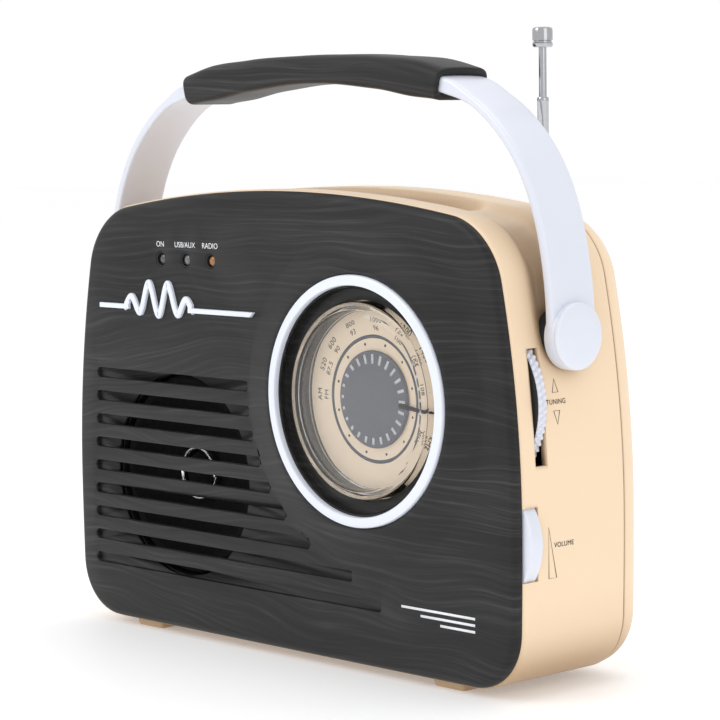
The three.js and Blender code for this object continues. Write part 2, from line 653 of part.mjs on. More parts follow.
function dialChassis() {
  const left = DIAL.x - plateRadius - 3;
  const low = DIAL.z - plateRadius - 6;
  const plate = box([left, chassisFront, low], [tuningX + 9, chassisBack, DIAL.z + 21]);
  const posts = [[left + 3, DIAL.z + 18], [left + 3, DIAL.z - 18], [DIAL.x, low + 3]];
  let chassis = plate;
  for (const [x, z] of posts) {
    chassis = chassis.add(turnedY(rod(2.2, CASE_FRONT_Y + 1, chassisFront + 0.5), x, z, 12));
  }
  for (const [x, z] of [[DIAL.x, DIAL.z], [tuningX, TUNING_SLOT.z]]) {
    chassis = chassis.subtract(turnedY(rod(SPINDLE.radius + RUN, -20, 20), x, z, 12));
  }
  return chassis;
}

const capacitorFront = chassisBack + 0.8 + GAP;
const tuningCapacitor = () => box(
  [DIAL.x - 11, capacitorFront, DIAL.z - 11],
  [DIAL.x + 11, batteryFront - 2.4, DIAL.z + 11]);

// ---------------------------------------------------------------- volume control
const volumeFront = CASE_FRONT_Y + GAP;
const volumeBack = VOLUME_SLOT.back - GAP;
const potShaft = 3;
const volumeWheel = () => turnedY([
  [potShaft + RUN, volumeFront],
  [VOLUME_WHEEL.radius - 0.6, volumeFront],
  [VOLUME_WHEEL.radius, volumeFront + 0.6],
  [VOLUME_WHEEL.radius, volumeBack - 0.6],
  [VOLUME_WHEEL.radius - 0.6, volumeBack],
  [potShaft + RUN, volumeBack],
], volumeX, VOLUME_SLOT.z, 56);

const volumePot = () => turnedY([
  [0, volumeFront],
  [potShaft, volumeFront],
  [potShaft, volumeBack + 1],
  [8, volumeBack + 1],
  [8, volumeBack + 8],
  [0, volumeBack + 8],
], volumeX, VOLUME_SLOT.z, 20);

// ---------------------------------------------------------------- loudspeaker
const flangeY = CASE_FRONT_Y + GAP;
const speakerFrame = () => turnedY([
  [SPEAKER.opening, flangeY],
  [SPEAKER.flange, flangeY],
  [SPEAKER.flange, flangeY + 1.2],
  [SPEAKER.opening + 1.2, flangeY + 1.2],
  [SPEAKER.opening + 1.2, flangeY + 4.4],
  [SPEAKER.magnet + 1, flangeY + SPEAKER.depth - 11],
  [SPEAKER.magnet + 1, flangeY + SPEAKER.depth],
  [0, flangeY + SPEAKER.depth],
  [0, flangeY + SPEAKER.depth - 12],
  [SPEAKER.magnet - 1, flangeY + SPEAKER.depth - 12],
  [SPEAKER.opening, flangeY + 4],
], SPEAKER.x, SPEAKER.z, 40);

const capRadius = 8;
const speakerCone = () => turnedY([
  [0, flangeY + 3.9],
  [capRadius * 0.6, flangeY + 4.7],
  [capRadius, flangeY + 7],
  [SPEAKER.opening - 5, flangeY + 1.6],
  [SPEAKER.opening - 3, flangeY + 0.8],
  [SPEAKER.opening - 1, flangeY + 1.6],
  [SPEAKER.opening - 1, flangeY + 2.4],
  [SPEAKER.opening - 5, flangeY + 2.6],
  [capRadius, flangeY + 8.2],
  [capRadius * 0.6, flangeY + 8.2],
  [0, flangeY + 8.2],
], SPEAKER.x, SPEAKER.z, 32);

// ---------------------------------------------------------------- aerial
const aerialMouth = caseTop(aerialX) + 0.2;
const sleeveTop = caseTop(aerialX + AERIAL.sleeve) - CASE_WALL - 1;
const sectionRadius = (i) => AERIAL.sleeve - AERIAL.wall - 0.2 - i * AERIAL.step;
const aerialSleeve = () => turnedZ(
  tube(AERIAL.sleeve - AERIAL.wall, AERIAL.sleeve, AERIAL.bottom, sleeveTop), aerialX, AERIAL.y, 14);

function aerialTube(i, lift) {
  const outer = sectionRadius(i);
  const inner = outer - AERIAL.wall;
  const top = aerialMouth + lift;
  const bottom = AERIAL.bottom + 1 + i + lift;
  return turnedZ(tube(inner, outer, bottom, top), aerialX, AERIAL.y, 14);
}

function aerialRod() {
  const base = aerialMouth + AERIAL_OUT.third + AERIAL_OUT.rod;
  const bottom = AERIAL.bottom + 5 + AERIAL_OUT.third + AERIAL_OUT.rod;
  return turnedZ([
    [0, bottom],
    [AERIAL_ROD, bottom],
    [AERIAL_ROD, base],
    [AERIAL_CAP.radius - 0.7, base],
    [AERIAL_CAP.radius, base + 0.8],
    [AERIAL_CAP.radius, base + AERIAL_CAP.height - 1],
    [AERIAL_CAP.radius - 1.2, base + AERIAL_CAP.height],
    [0, base + AERIAL_CAP.height],
  ], aerialX, AERIAL.y, 20);
}

// ---------------------------------------------------------------- top controls
const switchTop = SWITCH_BOARD.z + SWITCH_BOARD.thickness + 2.4;
const topButton = (i) => turnedZ([
  [0, RECESS.floor + BUTTON.proud],
  [BUTTON.radius - 0.8, RECESS.floor + BUTTON.proud],
  [BUTTON.radius, RECESS.floor + BUTTON.proud - 0.8],
  [BUTTON.radius, floorUnder - GAP],
  [BUTTON.radius + 1.2, floorUnder - GAP],
  [BUTTON.radius + 1.2, floorUnder - GAP - 1],
  [1.5, floorUnder - GAP - 1],
  [1.5, switchTop + BUTTON.travel + 0.1],
  [0, switchTop + BUTTON.travel + 0.1],
], buttonX(i), controlY, 16);

function bandSlider() {
  const stem = SLIDER.width / 2 - 1;
  const knob = box(
    [SLIDER.x - SLIDER.width / 2, controlY - SLIDER.depth / 2, RECESS.floor + GAP],
    [SLIDER.x + SLIDER.width / 2, controlY + SLIDER.depth / 2, RECESS.floor + SLIDER.proud]);
  return knob.add(box(
    [SLIDER.x - stem, controlY - stem, floorUnder - 2],
    [SLIDER.x + stem, controlY + stem, RECESS.floor + 1]));
}

function switchBoard() {
  const z0 = SWITCH_BOARD.z;
  let board = box(
    [BUTTON.first - 8, controlY - 7, z0],
    [SLIDER.x + SLIDER.travel + 8, controlY + 7, z0 + SWITCH_BOARD.thickness]);
  for (let i = 0; i < BUTTON.count; i += 1) {
    board = board.add(box([buttonX(i) - 3, controlY - 3, z0 + 1], [buttonX(i) + 3, controlY + 3, switchTop]));
  }
  return board.add(box(
    [SLIDER.x - 4, controlY - 3, z0 + 1],
    [SLIDER.x + SLIDER.travel + 4, controlY + 3, floorUnder - 2 - GAP]));
}

// ---------------------------------------------------------------- back cover, battery, sockets
const cellPitch = 2 * CELL.radius + CELL.spacing;
const boxHalfX = CELL.length / 2 + BATTERY.contact + BATTERY.wall + 1;
const boxHalfZ = (CELL.count * cellPitch) / 2 + BATTERY.wall;
const doorFront = BACK_Y - DOOR.thickness;
const batteryRear = doorFront - 0.7;
const batteryFront = batteryRear - 2 * CELL.radius - BATTERY.depthSpare - BATTERY.wall;
const doorHalf = { x: boxHalfX + DOOR.sideLap, z: boxHalfZ + DOOR.endLap };
const SOCKETS = {
  dc_socket: { x: 62, z: 34, half: [4.5, 5.5], hole: 'round', r: 2.9 },
  aux_socket: { x: 62, z: 50, half: [3.6, 4.2], hole: 'round', r: 1.8 },
  usb_socket: { x: 62, z: 66, half: [7.2, 3.6], hole: 'slot', w: 12.4, h: 4.6 },
  card_slot: { x: 62, z: 80, half: [13, 2.6], hole: 'slot', w: 24.2, h: 2.3 },
};
const socketFront = 19;
const socketRear = BACK_Y - COVER_WALL - GAP;
const SCREW = { lowX: 84, lowZ: 18, highZ: 118, toAerial: 12.25, shank: 1.4, head: 2.8, sink: 4, height: 1.6 };
const screwSeat = BACK_Y - SCREW.sink;

function socketHole(s, y0, y1, grow = 0) {
  if (s.hole === 'round') return turnedY(rod(s.r + grow, y0, y1), s.x, s.z, 20);
  return box([s.x - s.w / 2 - grow, y0, s.z - s.h / 2 - grow], [s.x + s.w / 2 + grow, y1, s.z + s.h / 2 + grow]);
}

function socket(s) {
  const body = box([s.x - s.half[0], socketFront, s.z - s.half[1]], [s.x + s.half[0], socketRear, s.z + s.half[1]]);
  return body.subtract(socketHole(s, socketFront + 1.4, socketRear + 1));
}

function backCover() {
  const start = CASE_REAR_Y + GAP;
  const keep = box([-200, start, -10], [200, 60, 200]);
  const outside = slabY(grown(-BACK_ROUND), BACK_Y - 20, BACK_Y, BACK_ROUND, 4).intersect(keep);
  const inRound = BACK_ROUND - COVER_WALL;
  const inside = slabY(grown(-BACK_ROUND), BACK_Y - 22, BACK_Y - COVER_WALL, inRound, 2);
  const block = (halfX, halfZ, y0, y1) => box([-halfX, y0, BATTERY.z - halfZ], [halfX, y1, BATTERY.z + halfZ]);
  const rim = DOOR.surround;
  const surround = block(doorHalf.x + rim, doorHalf.z + rim, doorFront - GAP - rim, BACK_Y - 1);
  const doorHole = block(doorHalf.x + GAP, doorHalf.z + GAP, doorFront - GAP, BACK_Y + 1);
  const bay = block(boxHalfX + GAP, boxHalfZ + GAP, start - 1, BACK_Y + 1);
  let cover = outside.subtract(inside).add(surround).subtract(doorHole).subtract(bay);
  for (const s of Object.values(SOCKETS)) cover = cover.subtract(socketHole(s, 20, 40, 0.4));
  for (const [x, z] of screwPlaces()) {
    const post = turnedY(rod(SCREW.head + 1.6, start, BACK_Y - 1), x, z, 16);
    const hole = turnedY(rod(SCREW.shank + RUN, start - 1, BACK_Y + 1), x, z, 12);
    const sink = turnedY(rod(SCREW.head + RUN, screwSeat, BACK_Y + 1), x, z, 16);
    cover = cover.add(post).subtract(hole).subtract(sink);
  }
  return cover;
}

function screwPlaces() {
  const { lowX, lowZ, highZ } = SCREW;
  const highX = aerialX - SCREW.toAerial;
  return [[-lowX, lowZ], [lowX, lowZ], [-highX, highZ], [highX, highZ]];
}

const backScrew = ([x, z]) => turnedY([
  [0, CASE_REAR_Y - 6],
  [SCREW.shank, CASE_REAR_Y - 6],
  [SCREW.shank, screwSeat],
  [SCREW.head, screwSeat + GAP],
  [SCREW.head, screwSeat + SCREW.height],
  [0, screwSeat + SCREW.height],
], x, z, 12);

function batteryBox() {
  const z0 = BATTERY.z - boxHalfZ;
  const z1 = BATTERY.z + boxHalfZ;
  const rear = batteryRear;
  const w = BATTERY.wall;
  return box([-boxHalfX, batteryFront, z0], [boxHalfX, rear, z1])
    .subtract(box([-boxHalfX + w, batteryFront + w, z0 + w / 2], [boxHalfX - w, rear + 1, z1 - w / 2]));
}

const cellZ = (i) => BATTERY.z + (i - (CELL.count - 1) / 2) * cellPitch;
const cellY = batteryFront + BATTERY.wall + CELL.radius + GAP;
function batteryCell(i) {
  const side = i % 2 ? -1 : 1;
  const half = CELL.length / 2;
  return turnedX([
    [0, -side * half],
    [CELL.radius, -side * half],
    [CELL.radius, side * (half - 1.2)],
    [2.6, side * (half - 1.2)],
    [2.6, side * half],
    [0, side * half],
  ], cellY, cellZ(i), 16);
}

function contactPlate(side) {
  const x0 = boxHalfX - BATTERY.wall - GAP;
  const z0 = BATTERY.z - boxHalfZ + BATTERY.wall;
  const z1 = BATTERY.z + boxHalfZ - BATTERY.wall;
  const edge = (a, b) => [Math.min(a, b), Math.max(a, b)];
  const [xa, xb] = edge(side * x0, side * (x0 - 0.8));
  let plate = box([xa, batteryFront + BATTERY.wall + GAP, z0], [xb, batteryFront + 13, z1]);
  for (let i = 0; i < CELL.count; i += 1) {
    const [ta, tb] = edge(side * (x0 - 0.4), side * (CELL.length / 2 + GAP));
    plate = plate.add(box([ta, cellY - 2, cellZ(i) - 2], [tb, cellY + 2, cellZ(i) + 2]));
  }
  return plate;
}

// The door's lower edge is a half round about its hinge line.
function batteryDoor() {
  const r = DOOR.thickness / 2;
  const hingeZ = BATTERY.z - doorHalf.z + r;
  const leaf = box([-doorHalf.x, doorFront, hingeZ], [doorHalf.x, BACK_Y, BATTERY.z + doorHalf.z]);
  return leaf.add(turnedX(rod(r, -doorHalf.x, doorHalf.x), doorFront + r, hingeZ, 12));
}

// ---------------------------------------------------------------- electronics
const BOARD = { left: 14, right: 72, low: 8, high: 40, y: -4, thickness: 1.6 };
function mainBoard() {
  const { left, right, low, high, y, thickness } = BOARD;
  const back = y + thickness;
  let board = box([left, y, low], [right, back, high]);
  const chips = [[24, 14, 10, 10, 2], [42, 16, 7, 12, 2.4], [26, 30, 5, 5, 6], [56, 28, 9, 7, 5]];
  for (const [x, z, w, h, t] of chips) board = board.add(box([x, back - 0.5, z], [x + w, back + t, z + h]));
  for (const [x, z] of [[50, 34], [38, 34]]) board = board.add(turnedY(rod(3.1, back - 0.5, back + 8), x, z, 14));
  return board;
}

const ROD_AERIAL = { z: 114, y: -4, half: 40, radius: 4, x: -12 };
const ferriteRod = () => turnedX(
  rod(ROD_AERIAL.radius, ROD_AERIAL.x - ROD_AERIAL.half, ROD_AERIAL.x + ROD_AERIAL.half),
  ROD_AERIAL.y, ROD_AERIAL.z, 16);
const rodCoil = () => turnedX(
  tube(ROD_AERIAL.radius + GAP, ROD_AERIAL.radius + 1.4, ROD_AERIAL.x - 30, ROD_AERIAL.x - 12),
  ROD_AERIAL.y, ROD_AERIAL.z, 16);

// ---------------------------------------------------------------- assembly
const group = new THREE.Group();
function add(name, manifold, material) {
  const mesh = new THREE.Mesh(geometryOf(manifold), material);
  mesh.name = name;
  group.add(mesh);
}

add('case_shell', caseShell(), CREAM);
add('front_panel', frontPanel(), BLACK_WOOD);
add('back_cover', backCover(), CREAM);
add('dial_ring', dialRing(), WHITE_TRIM);
add('dial_lens', dialLens(), CLEAR);
add('dial_plate', dialPlate(), DIAL_CREAM);
add('pointer_disc', pointerDisc(), DIAL_GREY);
LAMP_COLOURS.forEach((colour, i) => add(`lamp_${i + 1}`, lamp(i), finish(colour, 0.25)));
add('lamp_board', lampBoard(), BOARD_GREEN);
add('badge_bar', badgeBar(), WHITE_TRIM);

add('handle_strap', handleStrap(), SATIN_SILVER);
add('handle_grip', handleGrip(), BLACK_WOOD);
for (const [name, side] of [['left', -1], ['right', 1]]) {
  add(`pivot_cap_${name}`, pivotCap(side), SATIN_SILVER);
  add(`pivot_pin_${name}`, pivotPin(side), STEEL);
}

add('tuning_wheel', tuningWheel(), SATIN_SILVER);
add('tuning_spindle', tuningSpindle(), BRASS);
add('dial_drum', dialDrum(), DIAL_CREAM);
add('drive_cord', driveCord(), BLACK);
add('dial_chassis', dialChassis(), STEEL);
add('tuning_capacitor', tuningCapacitor(), WHITE_TRIM);
add('volume_wheel', volumeWheel(), SATIN_SILVER);
add('volume_pot', volumePot(), STEEL);

add('speaker_frame', speakerFrame(), STEEL);
add('speaker_cone', speakerCone(), CONE_GREY);

add('aerial_sleeve', aerialSleeve(), BLACK);
add('aerial_section_1', aerialTube(0, 0), CHROME);
add('aerial_section_2', aerialTube(1, 0), CHROME);
add('aerial_section_3', aerialTube(2, AERIAL_OUT.third), CHROME);
add('aerial_rod', aerialRod(), CHROME);

for (let i = 0; i < BUTTON.count; i += 1) add(`top_button_${i + 1}`, topButton(i), SATIN_SILVER);
add('band_slider', bandSlider(), SATIN_SILVER);
add('switch_board', switchBoard(), BOARD_GREEN);

add('battery_box', batteryBox(), BLACK);
for (let i = 0; i < CELL.count; i += 1) add(`battery_cell_${i + 1}`, batteryCell(i), CELL_SLEEVE);
add('contact_plate_left', contactPlate(-1), STEEL);
add('contact_plate_right', contactPlate(1), STEEL);
add('battery_door', batteryDoor(), CREAM);
for (const [name, place] of Object.entries(SOCKETS)) add(name, socket(place), BLACK);
screwPlaces().forEach((place, i) => add(`back_screw_${i + 1}`, backScrew(place), STEEL));

add('main_board', mainBoard(), BOARD_GREEN);
add('ferrite_rod', ferriteRod(), FERRITE);
add('rod_coil', rodCoil(), COPPER);

export default group;
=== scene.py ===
"""Portable retro radio: the fine surfaces, materials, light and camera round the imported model.

Shapes are given in millimetres in the row frame and scaled by MM when a mesh is made.
"""
import json
import math

import bmesh
import bpy
from mathutils import Matrix, Vector
from mathutils.geometry import delaunay_2d_cdt


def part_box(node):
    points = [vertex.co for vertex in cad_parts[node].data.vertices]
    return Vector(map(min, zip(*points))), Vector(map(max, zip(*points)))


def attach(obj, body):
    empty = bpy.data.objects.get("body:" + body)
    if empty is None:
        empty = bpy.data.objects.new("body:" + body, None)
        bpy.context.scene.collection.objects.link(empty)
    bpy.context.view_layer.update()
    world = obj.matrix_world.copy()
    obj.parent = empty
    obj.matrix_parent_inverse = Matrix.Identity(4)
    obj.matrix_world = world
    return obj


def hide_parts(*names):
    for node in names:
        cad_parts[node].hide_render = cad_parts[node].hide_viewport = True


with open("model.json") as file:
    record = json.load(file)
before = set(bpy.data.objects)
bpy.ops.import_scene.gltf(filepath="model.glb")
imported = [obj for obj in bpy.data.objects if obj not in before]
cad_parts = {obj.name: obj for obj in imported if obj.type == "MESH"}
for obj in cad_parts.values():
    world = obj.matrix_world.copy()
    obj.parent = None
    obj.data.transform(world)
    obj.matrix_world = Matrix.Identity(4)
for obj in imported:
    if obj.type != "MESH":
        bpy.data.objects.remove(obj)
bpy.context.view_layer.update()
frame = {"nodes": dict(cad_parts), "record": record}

MM = 0.001

# ---------------------------------------------------------------- sizes in millimetres, and light levels
HALF_WIDTH, WIDEST_Z = 100.0, 50.0
PANEL_BOTTOM, PANEL_TOP = 2.6, 143.4
TOP_CROWN, UPPER_TAPER, LOWER_TAPER = 0.0011, 0.0015, 0.00048
BOTTOM_CORNER, TOP_CORNER, CORNER_FULLNESS = 17.5, 15.0, 0.58
FACE_Y, CASE_FRONT, CASE_REAR, BACK_Y = -25.9, -23.0, 20.0, 30.0
CASE_LIP = 0.4

DIAL_X, DIAL_Z = 38.1, 82.2
LENS_R, LENS_FRONT = 29.3, -28.4
RING_IN, RING_OUT, RING_FRONT = 34.15, 37.4, -30.0
LEDGE_Y = -25.0
PLATE_FRONT = -19.4
POINTER_R, POINTER_TIP, POINTER_TURN = 14.6, 25.0, -5.3

SPEAKER_X, SPEAKER_Z, SPEAKER_R = -47.2, 52.3, 32.6
LOUVRE_TOP, LOUVRE_PITCH, LOUVRE_HIGH, LOUVRE_DEEP = 83.05, 7.69, 3.2, 1.5
LOUVRE_ROWS, LOUVRE_LEFT, LOUVRE_FAN, LOUVRE_STOP = 9, -88.4, 2.3, 51.2
LOW_ROW_ENDS = (33.0, 45.3)

LAMP_X, LAMP_Z = (-54.2, -42.0, -29.8), 121.2
WINDOW_HOLE_R, LAMP_HOLE_R, SCREW_HOLE_R = 29.69, 2.27, 1.79

PIVOT_Y, PIVOT_Z, PIVOT_R = -2.0, 103.0, 9.7
STRAP_W, STRAP_T = 18.4, 2.8
GRIP_HALF = 58.0

TROUGH_FLOOR, TROUGH_FRONT, TROUGH_BACK = 131.8, -13.8, 8.7
CONTROL_Y = -2.6
BUTTON_X, BUTTON_PITCH, BUTTON_TOP = -45, 18, 134.8

TUNING_Z, TUNING_R = 83.6, 26.0
VOLUME_Z, VOLUME_R = 45.2, 19.0
SPEAKER_FRONT = -22.7
FOOT_X, FOOT_HALF = 68.9, 6.2
EDGE_ROUND = 0.45
INK_THICK = 0.03
DOT_RING_R, LINE_RING_R, TICK_R = 16.7, 18.7, 13.6
WAVE_LIFT, WAVE_HEIGHT, WAVE_TURNS = 3.2, 5.2, 7
FLOOR_GLOW, WORLD_LIGHT, WORLD_SEEN = 0.22, 0.84, 1.02

# the photograph's viewpoint
VIEW_AZIMUTH, VIEW_ELEVATION, VIEW_ROLL = 46.708, 5.332, 0.775
VIEW_PLACE = (601.1, -556.6, 166.5)
SENSOR_WIDTH, FOCAL_LENGTH = 36.0, 132.0985


# ---------------------------------------------------------------- materials
class Nodes:
    """A short way to write a node tree round one Principled shader."""

    def __init__(self, name, color, rough, metal=0.0):
        self.mat = bpy.data.materials.new(name)
        self.mat.use_nodes = True
        self.tree = self.mat.node_tree
        self.shader = self.tree.nodes["Principled BSDF"]
        self.set("Base Color", (*color, 1.0))
        self.set("Roughness", rough)
        self.set("Metallic", metal)
        self.coords = self.add("ShaderNodeTexCoord").outputs["Object"]

    def set(self, socket, value):
        self.shader.inputs[socket].default_value = value

    def add(self, kind, inputs=None, **settings):
        node = self.tree.nodes.new(kind)
        for key, value in settings.items():
            setattr(node, key, value)
        for key, value in (inputs or {}).items():
            socket = node.inputs[key]
            if isinstance(value, bpy.types.NodeSocket):
                self.tree.links.new(value, socket)
            else:
                socket.default_value = value
        return node

    def link(self, output, socket):
        self.tree.links.new(output, self.shader.inputs[socket])

    def noise(self, scale, detail=4.0, stretch=None, vector=None, rough=0.55):
        vector = vector or self.coords
        if stretch:
            vector = self.add("ShaderNodeMapping", {"Vector": vector, "Scale": stretch}).outputs[0]
        made = self.add(
            "ShaderNodeTexNoise",
            {"Vector": vector, "Scale": scale, "Detail": detail, "Roughness": rough},
        )
        return made.outputs["Fac"]

    def ramp(self, factor, stops):
        node = self.add("ShaderNodeValToRGB", {"Fac": factor})
        elements = node.color_ramp.elements
        while len(elements) < len(stops):
            elements.new(0.5)
        for element, (place, color) in zip(elements, stops):
            element.position = place
            element.color = (*color, 1.0) if not isinstance(color, float) else (color, color, color, 1.0)
        return node.outputs["Color"]

    def spread(self, factor, low, high):
        node = self.add("ShaderNodeMapRange", {"Value": factor, "To Min": low, "To Max": high})
        return node.outputs[0]

    def mix(self, factor, a, b, kind="MIX"):
        node = self.add("ShaderNodeMix", data_type="RGBA", blend_type=kind)
        for key, value in ((0, factor), (6, a), (7, b)):
            if isinstance(value, bpy.types.NodeSocket):
                self.tree.links.new(value, node.inputs[key])
            elif key == 0:
                node.inputs[key].default_value = value
            else:
                node.inputs[key].default_value = (*value, 1.0)
        return node.outputs[2]

    def bump(self, height, strength, distance, under=None):
        inputs = {"Height": height, "Strength": strength, "Distance": distance}
        if under:
            inputs["Normal"] = under
        return self.add("ShaderNodeBump", inputs).outputs[0]

    def edges(self, low, high):
        """0 on flat surface, 1 on worn convex edges."""
        point = self.add("ShaderNodeNewGeometry").outputs["Pointiness"]
        return self.add("ShaderNodeMapRange", {"Value": point, "From Min": low, "From Max": high}).outputs[0]


def moulded(name, color, rough, grain=900.0, depth=0.00003, tint=0.05, coat=0.0, metal=0.0, wear=0.35,
            recess_shade=None, painted_glow=0.0):
    """Moulded plastic or paint: faint clouding, fine texture in the gloss, edges rubbed lighter, and optional
    painted shade that darkens recesses and creases.
    """
    n = Nodes(name, color, rough, metal)
    cloud = n.noise(14.0, 3.0)
    dark = tuple(c * (1 - tint) for c in color)
    light = tuple(min(1.0, c * (1 + tint)) for c in color)
    body = n.ramp(cloud, ((0.3, dark), (0.7, light)))
    worn = tuple(min(1.0, c * 0.75 + 0.25) for c in color)
    rubbed = n.add("ShaderNodeMath", {0: n.edges(0.52, 0.62), 1: wear}, operation="MULTIPLY").outputs[0]
    tone = n.mix(rubbed, body, worn)
    # painted shade: ambient occlusion darkens the colour in recesses and creases, such as the top trough and
    # round the pivots
    if recess_shade:
        occlusion = n.add("ShaderNodeAmbientOcclusion", {"Distance": 0.03}, samples=8).outputs["AO"]
        shade_mask = n.add("ShaderNodeMapRange", {"Value": occlusion, "From Min": 0.35, "From Max": 0.96,
                                               "To Min": 1.0, "To Max": 0.0})
        tone = n.mix(shade_mask.outputs[0], tone, recess_shade)
    n.link(tone, "Base Color")
    fine = n.noise(grain, 3.0)
    n.link(n.spread(n.noise(60.0, 4.0), rough - 0.06, rough + 0.08), "Roughness")
    n.link(n.bump(fine, 0.25, depth), "Normal")
    if coat:
        n.set("Coat Weight", coat)
        n.set("Coat Roughness", 0.12)
    # painted light: the surface gives off light in its own colour, though it is no lamp
    if painted_glow:
        n.set("Emission Color", (*color, 1.0))
        n.set("Emission Strength", painted_glow)
    return n.mat


def metal(name, color, rough, brushed=(1.0, 1.0, 1.0), grain=700.0, depth=0.00001):
    """Metal with brushing along one axis and cloudy roughness."""
    n = Nodes(name, color, rough, 1.0)
    lines = n.noise(grain, 4.0, stretch=brushed)
    dark = tuple(c * 0.88 for c in color)
    n.link(n.ramp(lines, ((0.25, dark), (0.75, color))), "Base Color")
    n.link(n.spread(n.noise(90.0, 4.0), max(0.03, rough - 0.04), rough + 0.08), "Roughness")
    n.link(n.bump(lines, 0.12, depth), "Normal")
    return n.mat


def black_wood(name):
    """Blackened wood grain: long streaks that wave about the knots, with open pores."""
    n = Nodes(name, (0.04, 0.04, 0.04), 0.4)
    swell = n.noise(9.0, 2.0, stretch=(0.8, 1.0, 1.8))
    offset = n.add("ShaderNodeMath", {0: swell, 1: 0.5}, operation="SUBTRACT").outputs[0]
    lift = n.add("ShaderNodeMath", {0: offset, 1: 0.045}, operation="MULTIPLY").outputs[0]
    shift = n.add("ShaderNodeCombineXYZ", {"Z": lift}).outputs[0]
    bent = n.add("ShaderNodeVectorMath", {0: n.coords, 1: shift}, operation="ADD").outputs[0]
    streaks = n.noise(1.0, 5.0, stretch=(16.0, 40.0, 760.0), vector=bent, rough=0.62)
    fibres = n.noise(1.0, 3.0, stretch=(60.0, 150.0, 3000.0), vector=bent, rough=0.6)
    bands = n.noise(1.0, 2.0, stretch=(9.0, 20.0, 90.0), vector=bent)
    body = n.ramp(streaks, ((0.3, 0.008), (0.5, 0.015), (0.62, 0.028), (0.78, 0.06)))
    shade = n.ramp(bands, ((0.35, 0.72), (0.65, 1.25)))
    fine = n.ramp(fibres, ((0.35, 0.82), (0.65, 1.15)))
    tone = n.mix(1.0, n.mix(1.0, body, shade, "MULTIPLY"), fine, "MULTIPLY")
    n.link(tone, "Base Color")
    n.link(n.spread(streaks, 0.38, 0.55), "Roughness")
    n.link(n.bump(fibres, 0.3, 0.00004, n.bump(streaks, 0.25, 0.00012)), "Normal")
    n.set("Specular IOR Level", 0.3)
    return n.mat


def clear_plastic():
    """Clear moulded cover with a very slight cloud in its gloss."""
    n = Nodes("dial_window", (0.99, 0.985, 0.98), 0.02)
    n.set("Transmission Weight", 1.0)
    n.set("IOR", 1.4)
    n.link(n.spread(n.noise(30.0, 3.0), 0.005, 0.03), "Roughness")
    return n.mat


def paper_cone():
    """Pressed paper with felted fibres."""
    n = Nodes("cone_paper", (0.01, 0.01, 0.011), 0.9)
    fibres = n.noise(800.0, 6.0, rough=0.7)
    n.link(n.ramp(fibres, ((0.3, 0.004), (0.7, 0.014))), "Base Color")
    n.link(n.bump(fibres, 0.5, 0.00015), "Normal")
    n.set("Specular IOR Level", 0.2)
    return n.mat


def board_green():
    """Solder mask over copper tracks."""
    n = Nodes("circuit_board", (0.03, 0.2, 0.07), 0.4)
    tracks = n.add(
        "ShaderNodeTexBrick",
        {"Vector": n.coords, "Scale": 260.0, "Color1": (0.02, 0.15, 0.05, 1), "Color2": (0.03, 0.2, 0.07, 1),
         "Mortar": (0.05, 0.3, 0.12, 1), "Mortar Size": 0.03},
    ).outputs["Color"]
    n.link(n.mix(n.noise(40.0), tracks, (0.02, 0.12, 0.04)), "Base Color")
    n.link(n.bump(n.noise(900.0), 0.2, 0.00003), "Normal")
    n.set("Coat Weight", 0.3)
    return n.mat


# the cream case gets painted shade in its recesses
CREAM = moulded("case_cream", (0.9, 0.7, 0.49), 0.36, grain=1400.0, depth=0.00001, tint=0.015, wear=0.15,
                recess_shade=(0.5, 0.34, 0.2))
WOOD = black_wood("front_wood_black")
WOOD_GRIP = black_wood("grip_wood_black")
WHITE = moulded("trim_white", (0.8, 0.84, 0.95), 0.3, depth=0.00001, tint=0.02, coat=0.2)
SILVER = moulded("silver_plastic", (0.74, 0.77, 0.86), 0.36, depth=0.00001, tint=0.02, coat=0.2, metal=0.1)
GLASS = clear_plastic()
# painted light: the dial card glows a little, making up for the light the clear window keeps off it
CARD = moulded("dial_print_cream", (0.9, 0.75, 0.58), 0.55, grain=1600.0, tint=0.02, wear=0.0, painted_glow=0.16)
GREY = moulded("dial_grey", (0.15, 0.158, 0.19), 0.42, tint=0.05, wear=0.1)
INK = moulded("dial_ink", (0.05, 0.05, 0.055), 0.55, tint=0.1, wear=0.0)
INK_GREY = moulded("dial_ink_grey", (0.13, 0.14, 0.17), 0.5, tint=0.05, wear=0.0)
LINE_WHITE = moulded("print_white", (0.88, 0.9, 0.93), 0.4, tint=0.02, wear=0.0)
CHROME = metal("aerial_chrome", (0.5, 0.51, 0.53), 0.08, brushed=(1, 1, 12), grain=160.0, depth=0.000002)
CHROME_BRIGHT = metal("trim_chrome", (0.86, 0.87, 0.88), 0.1, grain=160.0, depth=0.000002)
STEEL = metal("steel", (0.56, 0.57, 0.58), 0.32, brushed=(1, 1, 8))
BRASS = metal("spindle_brass", (0.78, 0.55, 0.25), 0.28)
BLACK = moulded("black_plastic", (0.006, 0.006, 0.0065), 0.6, grain=700.0, depth=0.00006, tint=0.15,
                wear=0.04)
CONE = paper_cone()
BOARD = board_green()
FERRITE = moulded("ferrite", (0.035, 0.033, 0.032), 0.7, grain=500.0, depth=0.0001, tint=0.2)
CELLS = moulded("cell_sleeve", (0.22, 0.24, 0.28), 0.35, tint=0.08, coat=0.3, metal=0.3)
LAMPS = [
    moulded("lamp_grey", (0.05, 0.052, 0.055), 0.2, coat=0.6, tint=0.1),
    moulded("lamp_light", (0.12, 0.125, 0.13), 0.2, coat=0.6, tint=0.1),
    moulded("lamp_amber", (0.3, 0.12, 0.025), 0.2, coat=0.6, tint=0.1),
]


